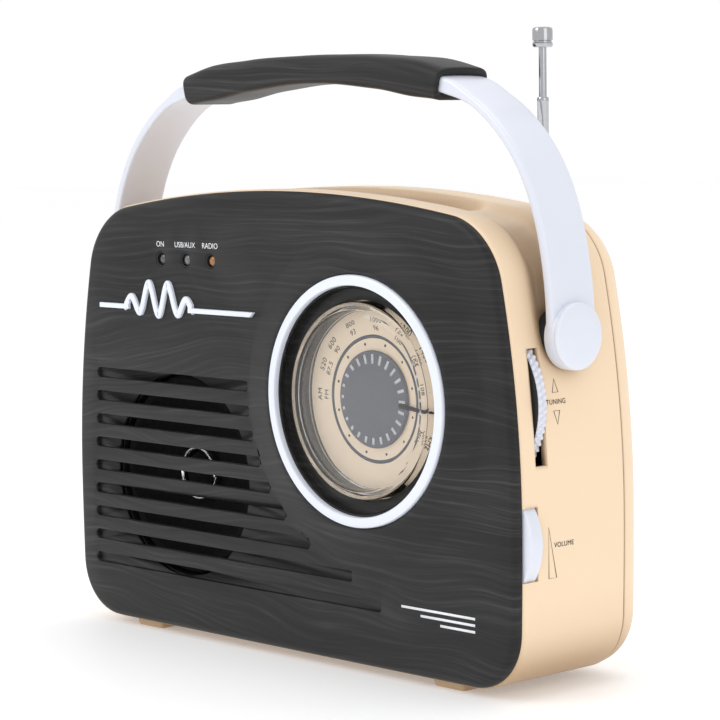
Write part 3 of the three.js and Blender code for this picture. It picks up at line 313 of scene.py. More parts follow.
# ---------------------------------------------------------------- mesh helpers
def piece(name, verts, faces, material, body, slot=None, replaces=(), sharp=38.0, outward=True):
    """A mesh object from points in millimetres, riding on a body of the frame."""
    mesh = bpy.data.meshes.new(name)
    mesh.from_pydata([tuple(c * MM for c in v) for v in verts], [], [tuple(f) for f in faces])
    bm = bmesh.new()
    bm.from_mesh(mesh)
    bmesh.ops.remove_doubles(bm, verts=bm.verts, dist=0.002 * MM)
    if outward:
        bmesh.ops.recalc_face_normals(bm, faces=bm.faces)
    bm.to_mesh(mesh)
    bm.free()
    mesh.polygons.foreach_set("use_smooth", [True] * len(mesh.polygons))
    mesh.set_sharp_from_angle(angle=math.radians(sharp))
    mesh.materials.append(material)
    obj = bpy.data.objects.new(name, mesh)
    bpy.context.scene.collection.objects.link(obj)
    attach(obj, body)
    if replaces:
        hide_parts(*replaces)
    return obj


def fillet(points, radius, steps=4):
    """The closed polyline with every corner rounded to at most that radius."""
    points = [Vector(p) for p in points]
    made = []
    for i, p in enumerate(points):
        a, b = points[i - 1], points[(i + 1) % len(points)]
        to_a, to_b = a - p, b - p
        if to_a.length < 1e-6 or to_b.length < 1e-6 or abs(to_a.normalized().cross(to_b.normalized())) < 0.02:
            made.append(p)
            continue
        reach = min(radius, to_a.length * 0.45, to_b.length * 0.45)
        start, end = p + to_a.normalized() * reach, p + to_b.normalized() * reach
        for k in range(steps + 1):
            t = k / steps
            made.append((1 - t) ** 2 * start + 2 * t * (1 - t) * p + t * t * end)
    return made


def turned(profile, axis, centre, segments=96, closed=True):
    """Points and faces of a profile of (radius, position) pairs turned about an axis through centre."""
    u0, v0 = centre
    verts, rows = [], []
    for r, h in profile:
        row = []
        for k in range(segments if r > 1e-6 else 1):
            angle = 2 * math.pi * k / segments
            u, v = u0 + r * math.cos(angle), v0 + r * math.sin(angle)
            row.append(len(verts))
            verts.append({"X": (h, u, v), "Y": (u, h, v), "Z": (u, v, h)}[axis])
        rows.append(row)
    faces = []
    count = len(rows)
    for i in range(count if closed else count - 1):
        low, high = rows[i], rows[(i + 1) % count]
        for k in range(segments):
            a, b = low[k % len(low)], low[(k + 1) % len(low)]
            c, d = high[(k + 1) % len(high)], high[k % len(high)]
            face = [a]
            for v in (b, c, d):
                if v not in face:
                    face.append(v)
            if len(face) > 2:
                faces.append(face)
    return verts, faces


def raised(base, *points):
    """A profile whose (radius, position) pairs are measured from base."""
    return [(r, base + h) for r, h in points]


def turned_piece(name, profile, axis, centre, material, body, segments=96, round_to=0.0, **extra):
    if round_to:
        profile = [tuple(p) for p in fillet(profile, round_to)]
    verts, faces = turned(profile, axis, centre, segments)
    return piece(name, verts, faces, material, body, **extra)


def loft(rings, cap=True):
    """Points and faces of a skin over rings of equal length."""
    verts = [tuple(p) for ring in rings for p in ring]
    size = len(rings[0])
    faces = []
    for i in range(len(rings) - 1):
        for k in range(size):
            j = (k + 1) % size
            faces.append((i * size + k, i * size + j, (i + 1) * size + j, (i + 1) * size + k))
    if cap:
        faces.append(tuple(range(size))[::-1])
        faces.append(tuple(range((len(rings) - 1) * size, len(rings) * size)))
    return verts, faces


def blocks(boxes):
    """Points and faces of several boxes given as (low corner, high corner)."""
    verts, faces = [], []
    for low, high in boxes:
        s = len(verts)
        for x in (low[0], high[0]):
            for y in (low[1], high[1]):
                for z in (low[2], high[2]):
                    verts.append((x, y, z))
        faces += [tuple(s + i for i in f) for f in (
            (0, 1, 3, 2), (4, 6, 7, 5), (0, 4, 5, 1), (2, 3, 7, 6), (0, 2, 6, 4), (1, 5, 7, 3))]
    return verts, faces


def bevelled(obj, width, segments=3, angle=40.0):
    mod = obj.modifiers.new("soft_edges", "BEVEL")
    mod.width = width * MM
    mod.segments = segments
    mod.limit_method = "ANGLE"
    mod.angle_limit = math.radians(angle)
    mod.harden_normals = False
    return obj


def solid_shell(obj, thickness):
    """Gives a skin its wall, grown inwards."""
    mod = obj.modifiers.new("wall", "SOLIDIFY")
    mod.thickness = thickness * MM
    mod.offset = -1.0
    mod.use_even_offset = False
    return obj


# ---------------------------------------------------------------- outline of the case
def side_x(z):
    return HALF_WIDTH - (UPPER_TAPER if z > WIDEST_Z else LOWER_TAPER) * (z - WIDEST_Z) ** 2


def top_z(x):
    return PANEL_TOP - TOP_CROWN * x * x


def top_corner_z():
    z = PANEL_TOP
    for _ in range(20):
        z = top_z(side_x(z))
    return z


def corner_curve(start, corner, end, steps):
    a = start.lerp(corner, CORNER_FULLNESS)
    b = end.lerp(corner, CORNER_FULLNESS)
    made = []
    for k in range(steps + 1):
        t = k / steps
        made.append((1 - t) ** 3 * start + 3 * (1 - t) ** 2 * t * a + 3 * (1 - t) * t * t * b + t ** 3 * end)
    return made


def half_outline(levels=(), corner=16, side=40, top=44, bottom=12):
    """Right half, from the bottom middle up and over to the top middle; levels are added side heights."""
    corner_z = top_corner_z()
    low = Vector((side_x(PANEL_BOTTOM), PANEL_BOTTOM))
    high = Vector((side_x(corner_z), corner_z))
    foot, head = PANEL_BOTTOM + BOTTOM_CORNER, corner_z - TOP_CORNER
    start_x, top_start = low.x - BOTTOM_CORNER, high.x - TOP_CORNER
    made = [Vector((start_x * k / bottom, PANEL_BOTTOM)) for k in range(bottom)]
    made += corner_curve(Vector((start_x, PANEL_BOTTOM)), low, Vector((side_x(foot), foot)), corner)
    heights = sorted(set([foot + (head - foot) * k / side for k in range(1, side)] + list(levels)))
    made += [Vector((side_x(z), z)) for z in heights if foot < z < head]
    made += corner_curve(Vector((side_x(head), head)), high, Vector((top_start, top_z(top_start))), corner)
    made += [Vector((top_start * (1 - k / top), top_z(top_start * (1 - k / top)))) for k in range(1, top + 1)]
    return made


def outline(levels=(), **steps):
    half = half_outline(levels, **steps)
    return half + [Vector((-p.x, p.y)) for p in half[1:-1]][::-1]


def normals(loop):
    made = []
    for i in range(len(loop)):
        along = (loop[(i + 1) % len(loop)] - loop[i - 1]).normalized()
        made.append(Vector((along.y, -along.x)))
    return made


def grown(loop, amount):
    return [p + n * amount for p, n in zip(loop, normals(loop))]


def case_x(z):
    return side_x(z) + CASE_LIP


def smooth(t):
    t = min(1.0, max(0.0, t))
    return t * t * (3 - 2 * t)


def between(value, stops):
    """Smooth value through (place, value) stops."""
    if value <= stops[0][0]:
        return stops[0][1]
    for (a, va), (b, vb) in zip(stops, stops[1:]):
        if value <= b:
            return va + (vb - va) * smooth((value - a) / (b - a))
    return stops[-1][1]


# ---------------------------------------------------------------- sheets with holes and steps
class Sheet:
    """A sheet in X and Z whose loops carry their own depth in Y."""

    def __init__(self):
        self.points, self.depths, self.edges = [], [], []

    def loop(self, points, depth, closed=True):
        start, count = len(self.points), len(points)
        self.points += [Vector(p) for p in points]
        self.depths += [depth] * count
        self.edges += [(start + i, start + (i + 1) % count) for i in range(count if closed else count - 1)]

    def circle(self, x, z, radius, depth, count=96):
        turn = 2 * math.pi / count
        self.loop([(x + radius * math.cos(k * turn), z + radius * math.sin(k * turn)) for k in range(count)],
                  depth)

    def build(self, drop, spare_depth):
        """Points and faces; drop(x, z) is true where the sheet is open."""
        verts, _, faces, origin, _, _ = delaunay_2d_cdt(self.points, self.edges, [], 0, 1e-5)
        depths = [self.depths[o[0]] if o else spare_depth(*v) for v, o in zip(verts, origin)]
        kept = []
        for f in faces:
            x = sum(verts[i][0] for i in f) / len(f)
            z = sum(verts[i][1] for i in f) / len(f)
            if not drop(x, z):
                kept.append(f)
        return [(v[0], d, v[1]) for v, d in zip(verts, depths)], kept


def louvre_rows():
    """(z, left end, right end) of each groove, from the top."""
    plain = LOUVRE_ROWS - len(LOW_ROW_ENDS)
    for k in range(LOUVRE_ROWS):
        z = LOUVRE_TOP - LOUVRE_PITCH * k
        left = LOUVRE_LEFT - LOUVRE_FAN * math.sin(k / (LOUVRE_ROWS - 1) * math.pi / 2)
        if k < plain:
            right = DIAL_X - math.sqrt(LOUVRE_STOP ** 2 - (DIAL_Z - z) ** 2)
        else:
            right = LOW_ROW_ENDS[k - plain]
        yield z, left, right


def groove_outline(z, left, right, grow):
    """Left end a half round, right end with small corners."""
    r = LOUVRE_HIGH / 2 + grow
    centre = left + LOUVRE_HIGH / 2
    turn = math.pi / 12
    made = [(centre - r * math.sin(k * turn), z + r * math.cos(k * turn)) for k in range(13)]
    end, corner = right + grow, 0.9
    for cx, cz, start in ((end - corner, z - r + corner, -0.5), (end - corner, z + r - corner, 0.0)):
        for k in range(5):
            angle = (start + k / 8) * math.pi
            made.append((cx + corner * math.cos(angle), cz + corner * math.sin(angle)))
    return made


def front_panel():
    sheet = Sheet()
    loop = outline()
    roll, rear = 3.0, -23.2
    for k in range(9):
        angle = k / 8 * math.pi / 2
        inset = roll * (1 - math.cos(angle))
        sheet.loop(grown(loop, -inset), rear - (rear - FACE_Y - 0.35) * math.sin(angle))
    for inset, drop in ((3.8, 0.26), (4.8, 0.17), (6.2, 0.07), (7.8, 0.02)):
        sheet.loop(grown(loop, -inset), FACE_Y + drop)
    bulge = ((50.6, 0.0), (49.9, -0.12), (48.9, -0.34), (47.4, -0.72), (45.3, -1.28), (43.0, -1.95),
             (41.0, -2.55), (39.7, -2.92), (38.9, -3.08), (38.2, -3.1), (37.75, -2.95), (37.6, -2.6),
             (37.55, -2.0))
    for radius, rise in bulge:
        sheet.circle(DIAL_X, DIAL_Z, radius, FACE_Y + rise, 120)
    well = ((34.1, -27.9), (34.0, -28.2), (33.8, -28.3), (33.6, -28.1), (33.5, -25.6), (33.2, -25.15),
            (32.4, LEDGE_Y), (30.2, LEDGE_Y), (29.75, LEDGE_Y + 0.3), (29.7, -19.8))
    for radius, depth in well:
        sheet.circle(DIAL_X, DIAL_Z, radius, depth, 120)
    for x in LAMP_X:
        for radius, depth in ((2.75, FACE_Y), (2.45, FACE_Y + 0.12), (2.3, FACE_Y + 0.45),
                              (2.28, FACE_Y + 2.2)):
            sheet.circle(x, LAMP_Z, radius, depth, 28)
    floor_y = FACE_Y + LOUVRE_DEEP
    half = LOUVRE_HIGH / 2
    rows = list(louvre_rows())
    for z, left, right in rows:
        for grow, depth in ((0.28, FACE_Y), (0.1, FACE_Y + 0.07), (0.02, FACE_Y + 0.25), (-0.02, floor_y)):
            sheet.loop(groove_outline(z, left, right, grow), depth)
        reach = SPEAKER_R ** 2 - (SPEAKER_Z - z) ** 2
        if reach <= 0:
            continue
        for side in (-1, 1):
            arc = []
            for k in range(5):
                level = z + (half - 0.03) * (k / 2 - 1)
                arc.append((SPEAKER_X + side * math.sqrt(SPEAKER_R ** 2 - (SPEAKER_Z - level) ** 2), level))
            if all(left + 2 < x < right - 1 for x, _ in arc):
                sheet.loop(arc, floor_y, closed=False)

    def open_at(x, z):
        if math.hypot(x - DIAL_X, z - DIAL_Z) < WINDOW_HOLE_R:
            return True
        if any(math.hypot(x - lx, z - LAMP_Z) < LAMP_HOLE_R for lx in LAMP_X):
            return True
        if math.hypot(x - SPEAKER_X, z - SPEAKER_Z) > SPEAKER_R:
            return False
        return any(abs(z - rz) < half - 0.02 and left + 0.5 < x < right for rz, left, right in rows)

    verts, faces = sheet.build(open_at, lambda x, z: floor_y)
    obj = piece("panel_skin", verts, faces, WOOD, "case", "front_wood_black", ("front_panel",), outward=False)
    return solid_shell(obj, 1.2)


# ---------------------------------------------------------------- case shell
SLOTS = (
    {"front": -17.4, "back": -12.5, "low": 67.05, "high": 100.15},
    {"front": -23.5, "back": -17.0, "low": 34.65, "high": 55.75},
)


def trough_depth(p):
    """How far the surface sinks at full depth, at an outline point."""
    x, z = abs(p.x), p.y
    if z < 95:
        return 0.0
    floor = top_z(x) + CASE_LIP - TROUGH_FLOOR
    along_top = between(x, ((0, 1.0), (48, 1.0), (66, 0.0)))
    shoulder = between(z, ((96, 0.0), (110, 2.6), (128, 3.6), (137, 2.8), (141, 1.6)))
    return max(floor * along_top, shoulder if x > 40 else 1.5)


def wall_width(p):
    """Width of the trough's side walls: steep in the middle, soft on the shoulders."""
    return between(abs(p.x), ((40, 2.4), (62, 6.0), (80, 8.0)))


def case_stations():
    """Depths of the skin's rings: close together where the surface turns."""
    ys = {CASE_FRONT, -22.95, -22.8, -22.5, -22.0, -20.0, 17.0, 19.0, 19.5, 19.8, CASE_REAR}
    for s in SLOTS:
        ys |= {s["front"], s["back"]}
    y = -18.0
    while y < 15:
        ys.add(round(y, 3))
        y += 0.45 if -15.5 < y < -4 or 0 < y < 10.5 else 1.2
    return sorted(v for v in ys if CASE_FRONT <= v <= CASE_REAR)


def case_skin():
    """The shell's outside, open at the two wheel slots. Its trough has no holes: the aerial, the button
    stems and the slider's shank pass through it."""
    levels = [s[key] for s in SLOTS for key in ("low", "high")]
    loop = outline(levels, corner=22, side=48, top=60)
    outward = normals(loop)
    stations = case_stations()
    verts = []
    for y in stations:
        front_edge = EDGE_ROUND * (1 - smooth((y - CASE_FRONT) / 0.5))
        edge = front_edge + EDGE_ROUND * (1 - smooth((CASE_REAR - y) / 0.5))
        for p, n in zip(loop, outward):
            width = wall_width(p)
            dip = trough_depth(p) * smooth((y - TROUGH_FRONT) / width) * smooth((TROUGH_BACK - y) / width)
            q = p + n * (CASE_LIP - edge - dip)
            verts.append((q.x, y, q.y))
    size = len(loop)
    faces = []
    for i, (y0, y1) in enumerate(zip(stations, stations[1:])):
        for k in range(size):
            j = (k + 1) % size
            x, z, y = loop[k].x, (loop[k].y + loop[j].y) / 2, (y0 + y1) / 2
            if x > 50 and any(s["front"] < y < s["back"] and s["low"] < z < s["high"] for s in SLOTS):
                continue
            faces.append(((i + 1) * size + k, (i + 1) * size + j, i * size + j, i * size + k))
    obj = piece("case_skin", verts, faces, CREAM, "case", "case_cream", ("case_shell",), sharp=50,
                outward=False)
    return solid_shell(obj, 2.2)


def case_feet():
    for tag, y0, y1 in (("front", -21.6, -13.6), ("rear", 10.6, 18.6)):
        for side in (-1, 1):
            rings = []
            for z, spread in ((3.4, 0.4), (2.4, 0.35), (0.5, 0.0), (0.12, -0.15), (0.0, -0.5)):
                x0, x1 = side * FOOT_X - FOOT_HALF - spread, side * FOOT_X + FOOT_HALF + spread
                corners = [(x0, y0 - spread), (x1, y0 - spread), (x1, y1 + spread), (x0, y1 + spread)]
                rings.append([(p.x, p.y, z) for p in fillet(corners, 1.4, 4)])
            piece(f"case_foot_{tag}_{'right' if side > 0 else 'left'}", *loft(rings), CREAM, "case",
                  "case_cream")


# ---------------------------------------------------------------- back cover
DOOR = {"x": 32.05, "low": 9.2, "high": 76.8}
SOCKETS = (("round", 62, 34, 2.9, 0), ("round", 62, 50, 1.8, 0), ("slot", 62, 66, 6.2, 2.3),
           ("slot", 62, 80, 12.1, 1.15))
SCREWS = ((-84, 18), (84, 18), (-62, 118), (62, 118))


def rect(x, z, half_x, half_z, corner=0.6):
    points = [(x - half_x, z - half_z), (x + half_x, z - half_z), (x + half_x, z + half_z),
              (x - half_x, z + half_z)]
    return fillet(points, corner, 4)


def back_cover():
    sheet = Sheet()
    loop = outline()
    rounding = 8.5
    for k in range(13):
        angle = k / 12 * math.pi / 2
        sheet.loop(grown(loop, -rounding * (1 - math.cos(angle))), 21.0 + (BACK_Y - 21.0) * math.sin(angle))
    mid_z = (DOOR["low"] + DOOR["high"]) / 2
    half_z = (DOOR["high"] - DOOR["low"]) / 2
    for grow, depth in ((0.55, BACK_Y), (0.35, BACK_Y - 0.15), (0.3, BACK_Y - 2.0), (-1.2, BACK_Y - 2.02),
                        (-1.3, BACK_Y - 4)):
        sheet.loop(rect(0, mid_z, DOOR["x"] + grow, half_z + grow, 1.0), depth)
    for kind, x, z, a, b in SOCKETS:
        for grow, depth in ((0.9, BACK_Y), (0.55, BACK_Y - 0.2), (0.42, BACK_Y - 0.6), (0.4, BACK_Y - 2)):
            if kind == "round":
                sheet.circle(x, z, a + grow, depth, 36)
            else:
                sheet.loop(rect(x, z, a + grow, b + grow), depth)
    for x, z in SCREWS:
        for radius, depth in ((3.7, BACK_Y), (3.3, BACK_Y - 0.25), (3.15, BACK_Y - 3.9),
                              (1.8, BACK_Y - 3.92)):
            sheet.circle(x, z, radius, depth, 32)
    vents = [(x, z) for z in (96, 101, 106, 111) for x in (-30, -15, 0, 15, 30)]
    for x, z in vents:
        for grow, depth in ((0.3, BACK_Y), (0.05, BACK_Y - 0.2), (0.0, BACK_Y - 1.6)):
            sheet.loop(rect(x, z, 5.5 + grow, 0.9 + grow, 0.85), depth)

    def open_at(x, z):
        if abs(x) < DOOR["x"] - 1.25 and abs(z - mid_z) < half_z - 1.25:
            return True
        if any(math.hypot(x - sx, z - sz) < SCREW_HOLE_R for sx, sz in SCREWS):
            return True
        for kind, sx, sz, a, b in SOCKETS:
            if kind == "round" and math.hypot(x - sx, z - sz) < a + 0.39:
                return True
            if kind == "slot" and abs(x - sx) < a + 0.39 and abs(z - sz) < b + 0.39:
                return True
        return False

    verts, faces = sheet.build(open_at, lambda x, z: BACK_Y)
    rim = [(p.x, 20.3, p.y) for p in grown(loop, -0.1)]
    start = len(verts)
    verts += rim
    verts += [(p.x, 21.0, p.y) for p in loop]
    count = len(loop)
    faces += [(start + count + k, start + count + (k + 1) % count, start + (k + 1) % count,
               start + k) for k in range(count)]
    obj = piece("back_skin", verts, [f[::-1] for f in faces[:-count]] + faces[-count:], CREAM, "case",
                "case_cream", ("back_cover",))
    solid_shell(obj, 1.6)

    leaf = rect(0, mid_z, DOOR["x"] - 0.05, half_z - 0.05, 0.9)
    rings = []
    for depth, inset in ((BACK_Y - 1.8, 0.0), (BACK_Y - 0.35, 0.0), (BACK_Y - 0.1, 0.1), (BACK_Y, 0.4)):
        scale_x, scale_z = 1 - inset / DOOR["x"], 1 - inset / half_z
        rings.append([(p.x * scale_x, depth, mid_z + (p.y - mid_z) * scale_z) for p in leaf])
    piece("door_leaf", *loft(rings), CREAM, "door", "case_cream", ("battery_door",))
    ribs = [((-9 + 0.8 * k, BACK_Y - 0.3, DOOR["high"] - 9 + 1.6 * k),
             (9 - 0.8 * k, BACK_Y - 0.01, DOOR["high"] - 8.2 + 1.6 * k))
            for k in range(4)]
    bevelled(piece("door_grip_ribs", *blocks(ribs), CREAM, "door", "case_cream"), 0.12, 2)


# ---------------------------------------------------------------- dial
def dial():
    ring = [(RING_OUT, -28.2), (RING_OUT, -29.1), (37.15, -29.6), (36.6, -29.85), (35.6, -29.98),
            (34.9, RING_FRONT), (34.4, -29.9), (34.2, -29.55), (RING_IN, -29.0), (RING_IN, -28.2)]
    turned_piece("ring_trim", ring, "Y", (DIAL_X, DIAL_Z), WHITE, "case", 160, slot="trim_white",
                 replaces=("dial_ring",))
    rim_in = LENS_R - 1.4
    cup = raised(LENS_FRONT, (0, -0.5), (8, -0.46), (16, -0.36), (22, -0.2), (26.3, 0), (26.9, 0.05),
                 (27.2, 0.45), (28.3, 0.6), (28.9, 0.9), (29.2, 1.4), (LENS_R, 2.2))
    cup += raised(PLATE_FRONT, (LENS_R, -0.3), (rim_in, -0.3))
    cup += raised(LENS_FRONT, (rim_in, 2.4), (27.3, 1.9), (26.2, 1.35), (22, 1.1), (12, 0.8), (0, 0.7))
    turned_piece("window_cup", cup, "Y", (DIAL_X, DIAL_Z), GLASS, "case", 128, slot="dial_window",
                 replaces=("dial_lens",))
    plate = raised(PLATE_FRONT, (3.5, 0), (31.2, 0), (31.4, 0.2), (31.4, 1), (3.5, 1))
    turned_piece("dial_card", plate, "Y", (DIAL_X, DIAL_Z), CARD, "case", 96, slot="dial_print_cream",
                 replaces=("dial_plate",))


class Print:
    """Collects flat printed shapes and makes one thin piece of them."""

    def __init__(self):
        self.verts, self.faces = [], []

    def add(self, verts, faces):
        start = len(self.verts)
        self.verts += [tuple(v) for v in verts]
        self.faces += [tuple(start + i for i in f) for f in faces]

    def text(self, words, height, place, right, up, space=1.0):
        """Words centred at place (mm), reading along right, with capitals of that height."""
        curve = bpy.data.curves.new("words", "FONT")
        curve.body, curve.align_x, curve.align_y = words, "CENTER", "CENTER"
        curve.space_character = space
        holder = bpy.data.objects.new("words", curve)
        bpy.context.scene.collection.objects.link(holder)
        bpy.context.view_layer.update()
        mesh = bpy.data.meshes.new_from_object(holder)
        scale = height / 0.7
        right, up = Vector(right).normalized(), Vector(up).normalized()
        self.add([Vector(place) + right * v.co.x * scale + up * v.co.y * scale for v in mesh.vertices],
                 [tuple(p.vertices) for p in mesh.polygons])
        bpy.data.objects.remove(holder)
        bpy.data.meshes.remove(mesh)

    def band(self, points, width, y=None, closed=False, lift=None):
        """A line of that width along (x, z) points at depth y, or along points set by lift(x, z)."""
        lift = lift or (lambda u, v: (u, y, v))
        points = [Vector(p) for p in points]
        count = len(points)
        rows = []
        for i, p in enumerate(points):
            a = points[i - 1] if closed or i else p
            b = points[(i + 1) % count] if closed or i < count - 1 else p
            along = (b - a).normalized()
            side = Vector((-along.y, along.x)) * width / 2
            rows.append((lift(*(p - side)), lift(*(p + side))))
        verts = [v for row in rows for v in row]
        faces = [(2 * i, 2 * i + 1, (2 * i + 3) % (2 * count), (2 * i + 2) % (2 * count))
                 for i in range(count if closed else count - 1)]
        self.add(verts, faces)

    def disc(self, x, z, radius, y):
        count = 20
        turn = 2 * math.pi / count
        self.add([(x + radius * math.cos(k * turn), y,
                   z + radius * math.sin(k * turn)) for k in range(count)],
                 [tuple(range(count))])

    def make(self, name, material, body, slot=None):
        obj = piece(name, self.verts, self.faces, material, body, slot, outward=False)
        mod = obj.modifiers.new("ink", "SOLIDIFY")
        mod.thickness = INK_THICK * MM
        mod.offset = 0.0
        return obj


def around(radius, degrees):
    a = math.radians(degrees)
    return DIAL_X + radius * math.cos(a), DIAL_Z + radius * math.sin(a)


def dial_print():
    y = PLATE_FRONT - 0.05
    ink = Print()
    outer = (("AM", 180), ("520", 158), ("600", 140), ("800", 116), ("1000", 88), ("1200", 60), ("1400", 36),
             ("1600", 12), ("kHz", -28))
    inner = (("FM", 180), ("87.5", 158), ("90", 140), ("93", 116), ("96", 88), ("100", 60), ("104", 36),
             ("108", 12), ("MHz", -28))
    for marks, radius, height in ((outer, 24.4, 1.8), (inner, 21.5, 1.65)):
        for words, degrees in marks:
            x, z = around(radius, degrees)
            a = math.radians(degrees)
            ink.text(words, height, (x, y, z), (math.sin(a), 0, -math.cos(a)), (math.cos(a), 0, math.sin(a)),
                     1.1)
    for k in range(12):
        x, z = around(DOT_RING_R, 15 + 30 * k)
        ink.disc(x, z, 0.42, y)
    ink.make("dial_scale_print", INK, "case", "dial_grey")
    line = Print()
    line.band([around(LINE_RING_R, 3 * k) for k in range(120)], 1.05, y, closed=True)
    line.make("dial_ring_line", INK_GREY, "case", "dial_grey")


def pointer():
    back, front = PLATE_FRONT - 0.35, PLATE_FRONT - 1.2
    disc = [(0, front), (POINTER_R - 0.3, front), (POINTER_R, front + 0.3), (POINTER_R, back), (3.2, back),
            (3.2, PLATE_FRONT + 1.2), (0, PLATE_FRONT + 1.2)]
    turned_piece("pointer_face", disc, "Y", (DIAL_X, DIAL_Z), GREY, "pointer", 96, slot="dial_grey",
                 replaces=("pointer_disc",))
    ticks = Print()
    y = front - 0.04
    count = 24
    for k in range(count):
        turn = k / count
        degrees = 180 - 360 * turn
        length = between(turn, ((0.0, 0.95), (0.25, 3.0), (0.65, 2.4), (0.8, 2.0), (0.92, 0.95)))
        ticks.band([around(TICK_R - length, degrees), around(TICK_R, degrees)], 0.95, y)
    ticks.make("pointer_ticks", LINE_WHITE, "pointer")
    a = math.radians(POINTER_TURN)
    along, across = Vector((math.cos(a), math.sin(a))), Vector((-math.sin(a), math.cos(a)))
    centre = Vector((DIAL_X, DIAL_Z))
    rings = []
    for distance, half, lift in ((11.0, 0.55, 0.1), (11.6, 0.75, 0.55), (POINTER_TIP - 2, 0.5, 0.5),
                                 (POINTER_TIP, 0.16, 0.3)):
        base = centre + along * distance
        ring = []
        for s, h in ((-1, 0.0), (-1, 0.6), (-0.5, 1.0), (0.5, 1.0), (1, 0.6), (1, 0.0)):
            p = base + across * s * half
            ring.append((p.x, front + 0.1 - h * lift - 0.05, p.y))
        rings.append(ring)
    piece("pointer_needle", *loft(rings), BLACK, "pointer")


def lamps():
    for k, x in enumerate(LAMP_X):
        dome = raised(FACE_Y, (0, 0.55), (0.8, 0.65), (1.5, 1.0), (1.85, 1.5), (1.95, 2.3))
        dome += [(1.95, -20.2), (0, -20.2)]
        turned_piece(f"lamp_dome_{k + 1}", dome, "Y", (x, LAMP_Z), LAMPS[k], "case", 40,
                     slot=("lamp_grey", "lamp_light", "lamp_amber")[k], replaces=(f"lamp_{k + 1}",))
        lip = raised(FACE_Y, (1.98, 0.35), (2.25, 0.2), (2.27, 2.0), (1.98, 2.0))
        turned_piece(f"lamp_bezel_{k + 1}", lip, "Y", (x, LAMP_Z), BLACK, "case", 40, slot="black_plastic")


# ---------------------------------------------------------------- badge, labels
def badge():
    """A plain bar with a tapering wave."""
    back, front = FACE_Y - 0.02, FACE_Y - 1.15
    bar_z, left, right = 105.4, -85.0, -8.7
    mid_left, mid_right = -72.0, -38.0

    def bar(x0, x1, slant):
        rings = []
        for y, inset in ((back, 0.0), (front + 0.3, 0.0), (front + 0.08, 0.08), (front, 0.3)):
            half = 0.8 - inset
            rings.append([(x0 + inset, y, bar_z - half), (x1 - inset - slant, y, bar_z - half),
                          (x1 - inset, y, bar_z + half), (x0 + inset, y, bar_z + half)])
        return loft(rings)

    parts = Print()
    parts.add(*bar(left, mid_left + 2, 0.0))
    parts.add(*bar(mid_right - 2, right, 1.6))
    steps = 140
    rings = []
    for k in range(steps + 1):
        t = k / steps
        x = mid_left + (mid_right - mid_left) * t
        envelope = math.sin(math.pi * t) ** 0.7
        z = bar_z + WAVE_LIFT * envelope + WAVE_HEIGHT * envelope * math.sin(t * math.pi * WAVE_TURNS)
        swing = math.cos(t * math.pi * WAVE_TURNS)
        slope = (0.01 + WAVE_TURNS * math.pi * WAVE_HEIGHT * envelope * swing) / (mid_right - mid_left)
        across = Vector((-slope, 1)).normalized()
        half = 0.85 + 0.45 * abs(across.y)
        ring = []
        for s, y in ((-1, back), (-1, front + 0.35), (-0.7, front + 0.05), (0.7, front + 0.05),
                     (1, front + 0.35), (1, back)):
            ring.append((x + across.x * s * half, y, z + across.y * s * half))
        rings.append(ring)
    parts.add(*loft(rings))
    piece("badge_trim", parts.verts, parts.faces, WHITE, "case", "trim_white", ("badge_bar",))


def labels():
    y = FACE_Y - 0.03
    words = Print()
    for name, x in (("ON", LAMP_X[0]), ("USB/AUX", LAMP_X[1]), ("RADIO", LAMP_X[2])):
        words.text(name, 1.75, (x, y, 125.9), (1, 0, 0), (0, 0, 1), 1.0)
    for k, wide in enumerate((30.0, 22.0, 14.0)):
        z = 23.0 - 1.9 * k
        words.band([(84 - wide, z), (84, z)], 0.75, y)
    words.make("panel_print", LINE_WHITE, "case")

    def on_side(y_at, z_at):
        return (case_x(z_at) + 0.06, y_at, z_at)

    side = Print()
    thin = 0.26
    side.band([(-8.6, 87.3), (-7.5, 91.1), (-6.2, 87.3)], thin, closed=True, lift=on_side)
    side.band([(-8.6, 82.1), (-7.3, 78.3), (-6.1, 82.1)], thin, closed=True, lift=on_side)
    side.band([(-12.6, 34.8), (-12.7, 49.5), (-9.4, 34.8)], thin, closed=True, lift=on_side)
    for name, place_y, z in (("TUNING", -7.4, 84.6), ("VOLUME", -6.3, 44.1)):
        lean = -0.003 * (z - WIDEST_Z)
        side.text(name, 1.4, (case_x(z) + 0.06, place_y, z), (0, 1, 0), (lean, 0, 1), 1.08)
    side.make("side_print", INK, "case")


# ---------------------------------------------------------------- handle
STRAP_POINTS = [(99.7, 103.0), (99.1, 114.9), (97.4, 126.5), (95.1, 136.1), (91.5, 145.7), (86.0, 155.0),
                (78.2, 163.4), (68.7, 170.1), (56.0, 174.8), (30.0, 178.5), (0.0, 180.0)]


def strap_line():
    """Centre line of the whole strap as (x, z) points, right pivot to left pivot."""
    key = [Vector(p) for p in STRAP_POINTS] + [Vector((-x, z)) for x, z in STRAP_POINTS[-2::-1]]
    made, steps = [], 14
    for i in range(len(key) - 1):
        p1, p2 = key[i], key[i + 1]
        p0 = key[i - 1] if i else p1 * 2 - p2
        p3 = key[i + 2] if i + 2 < len(key) else p2 * 2 - p1
        for k in range(steps):
            t = k / steps
            made.append(0.5 * (2 * p1 + (p2 - p0) * t + (2 * p0 - 5 * p1 + 4 * p2 - p3) * t * t
                               + (3 * p1 - p0 - 3 * p2 + p3) * t ** 3))
    return made + [key[-1]]


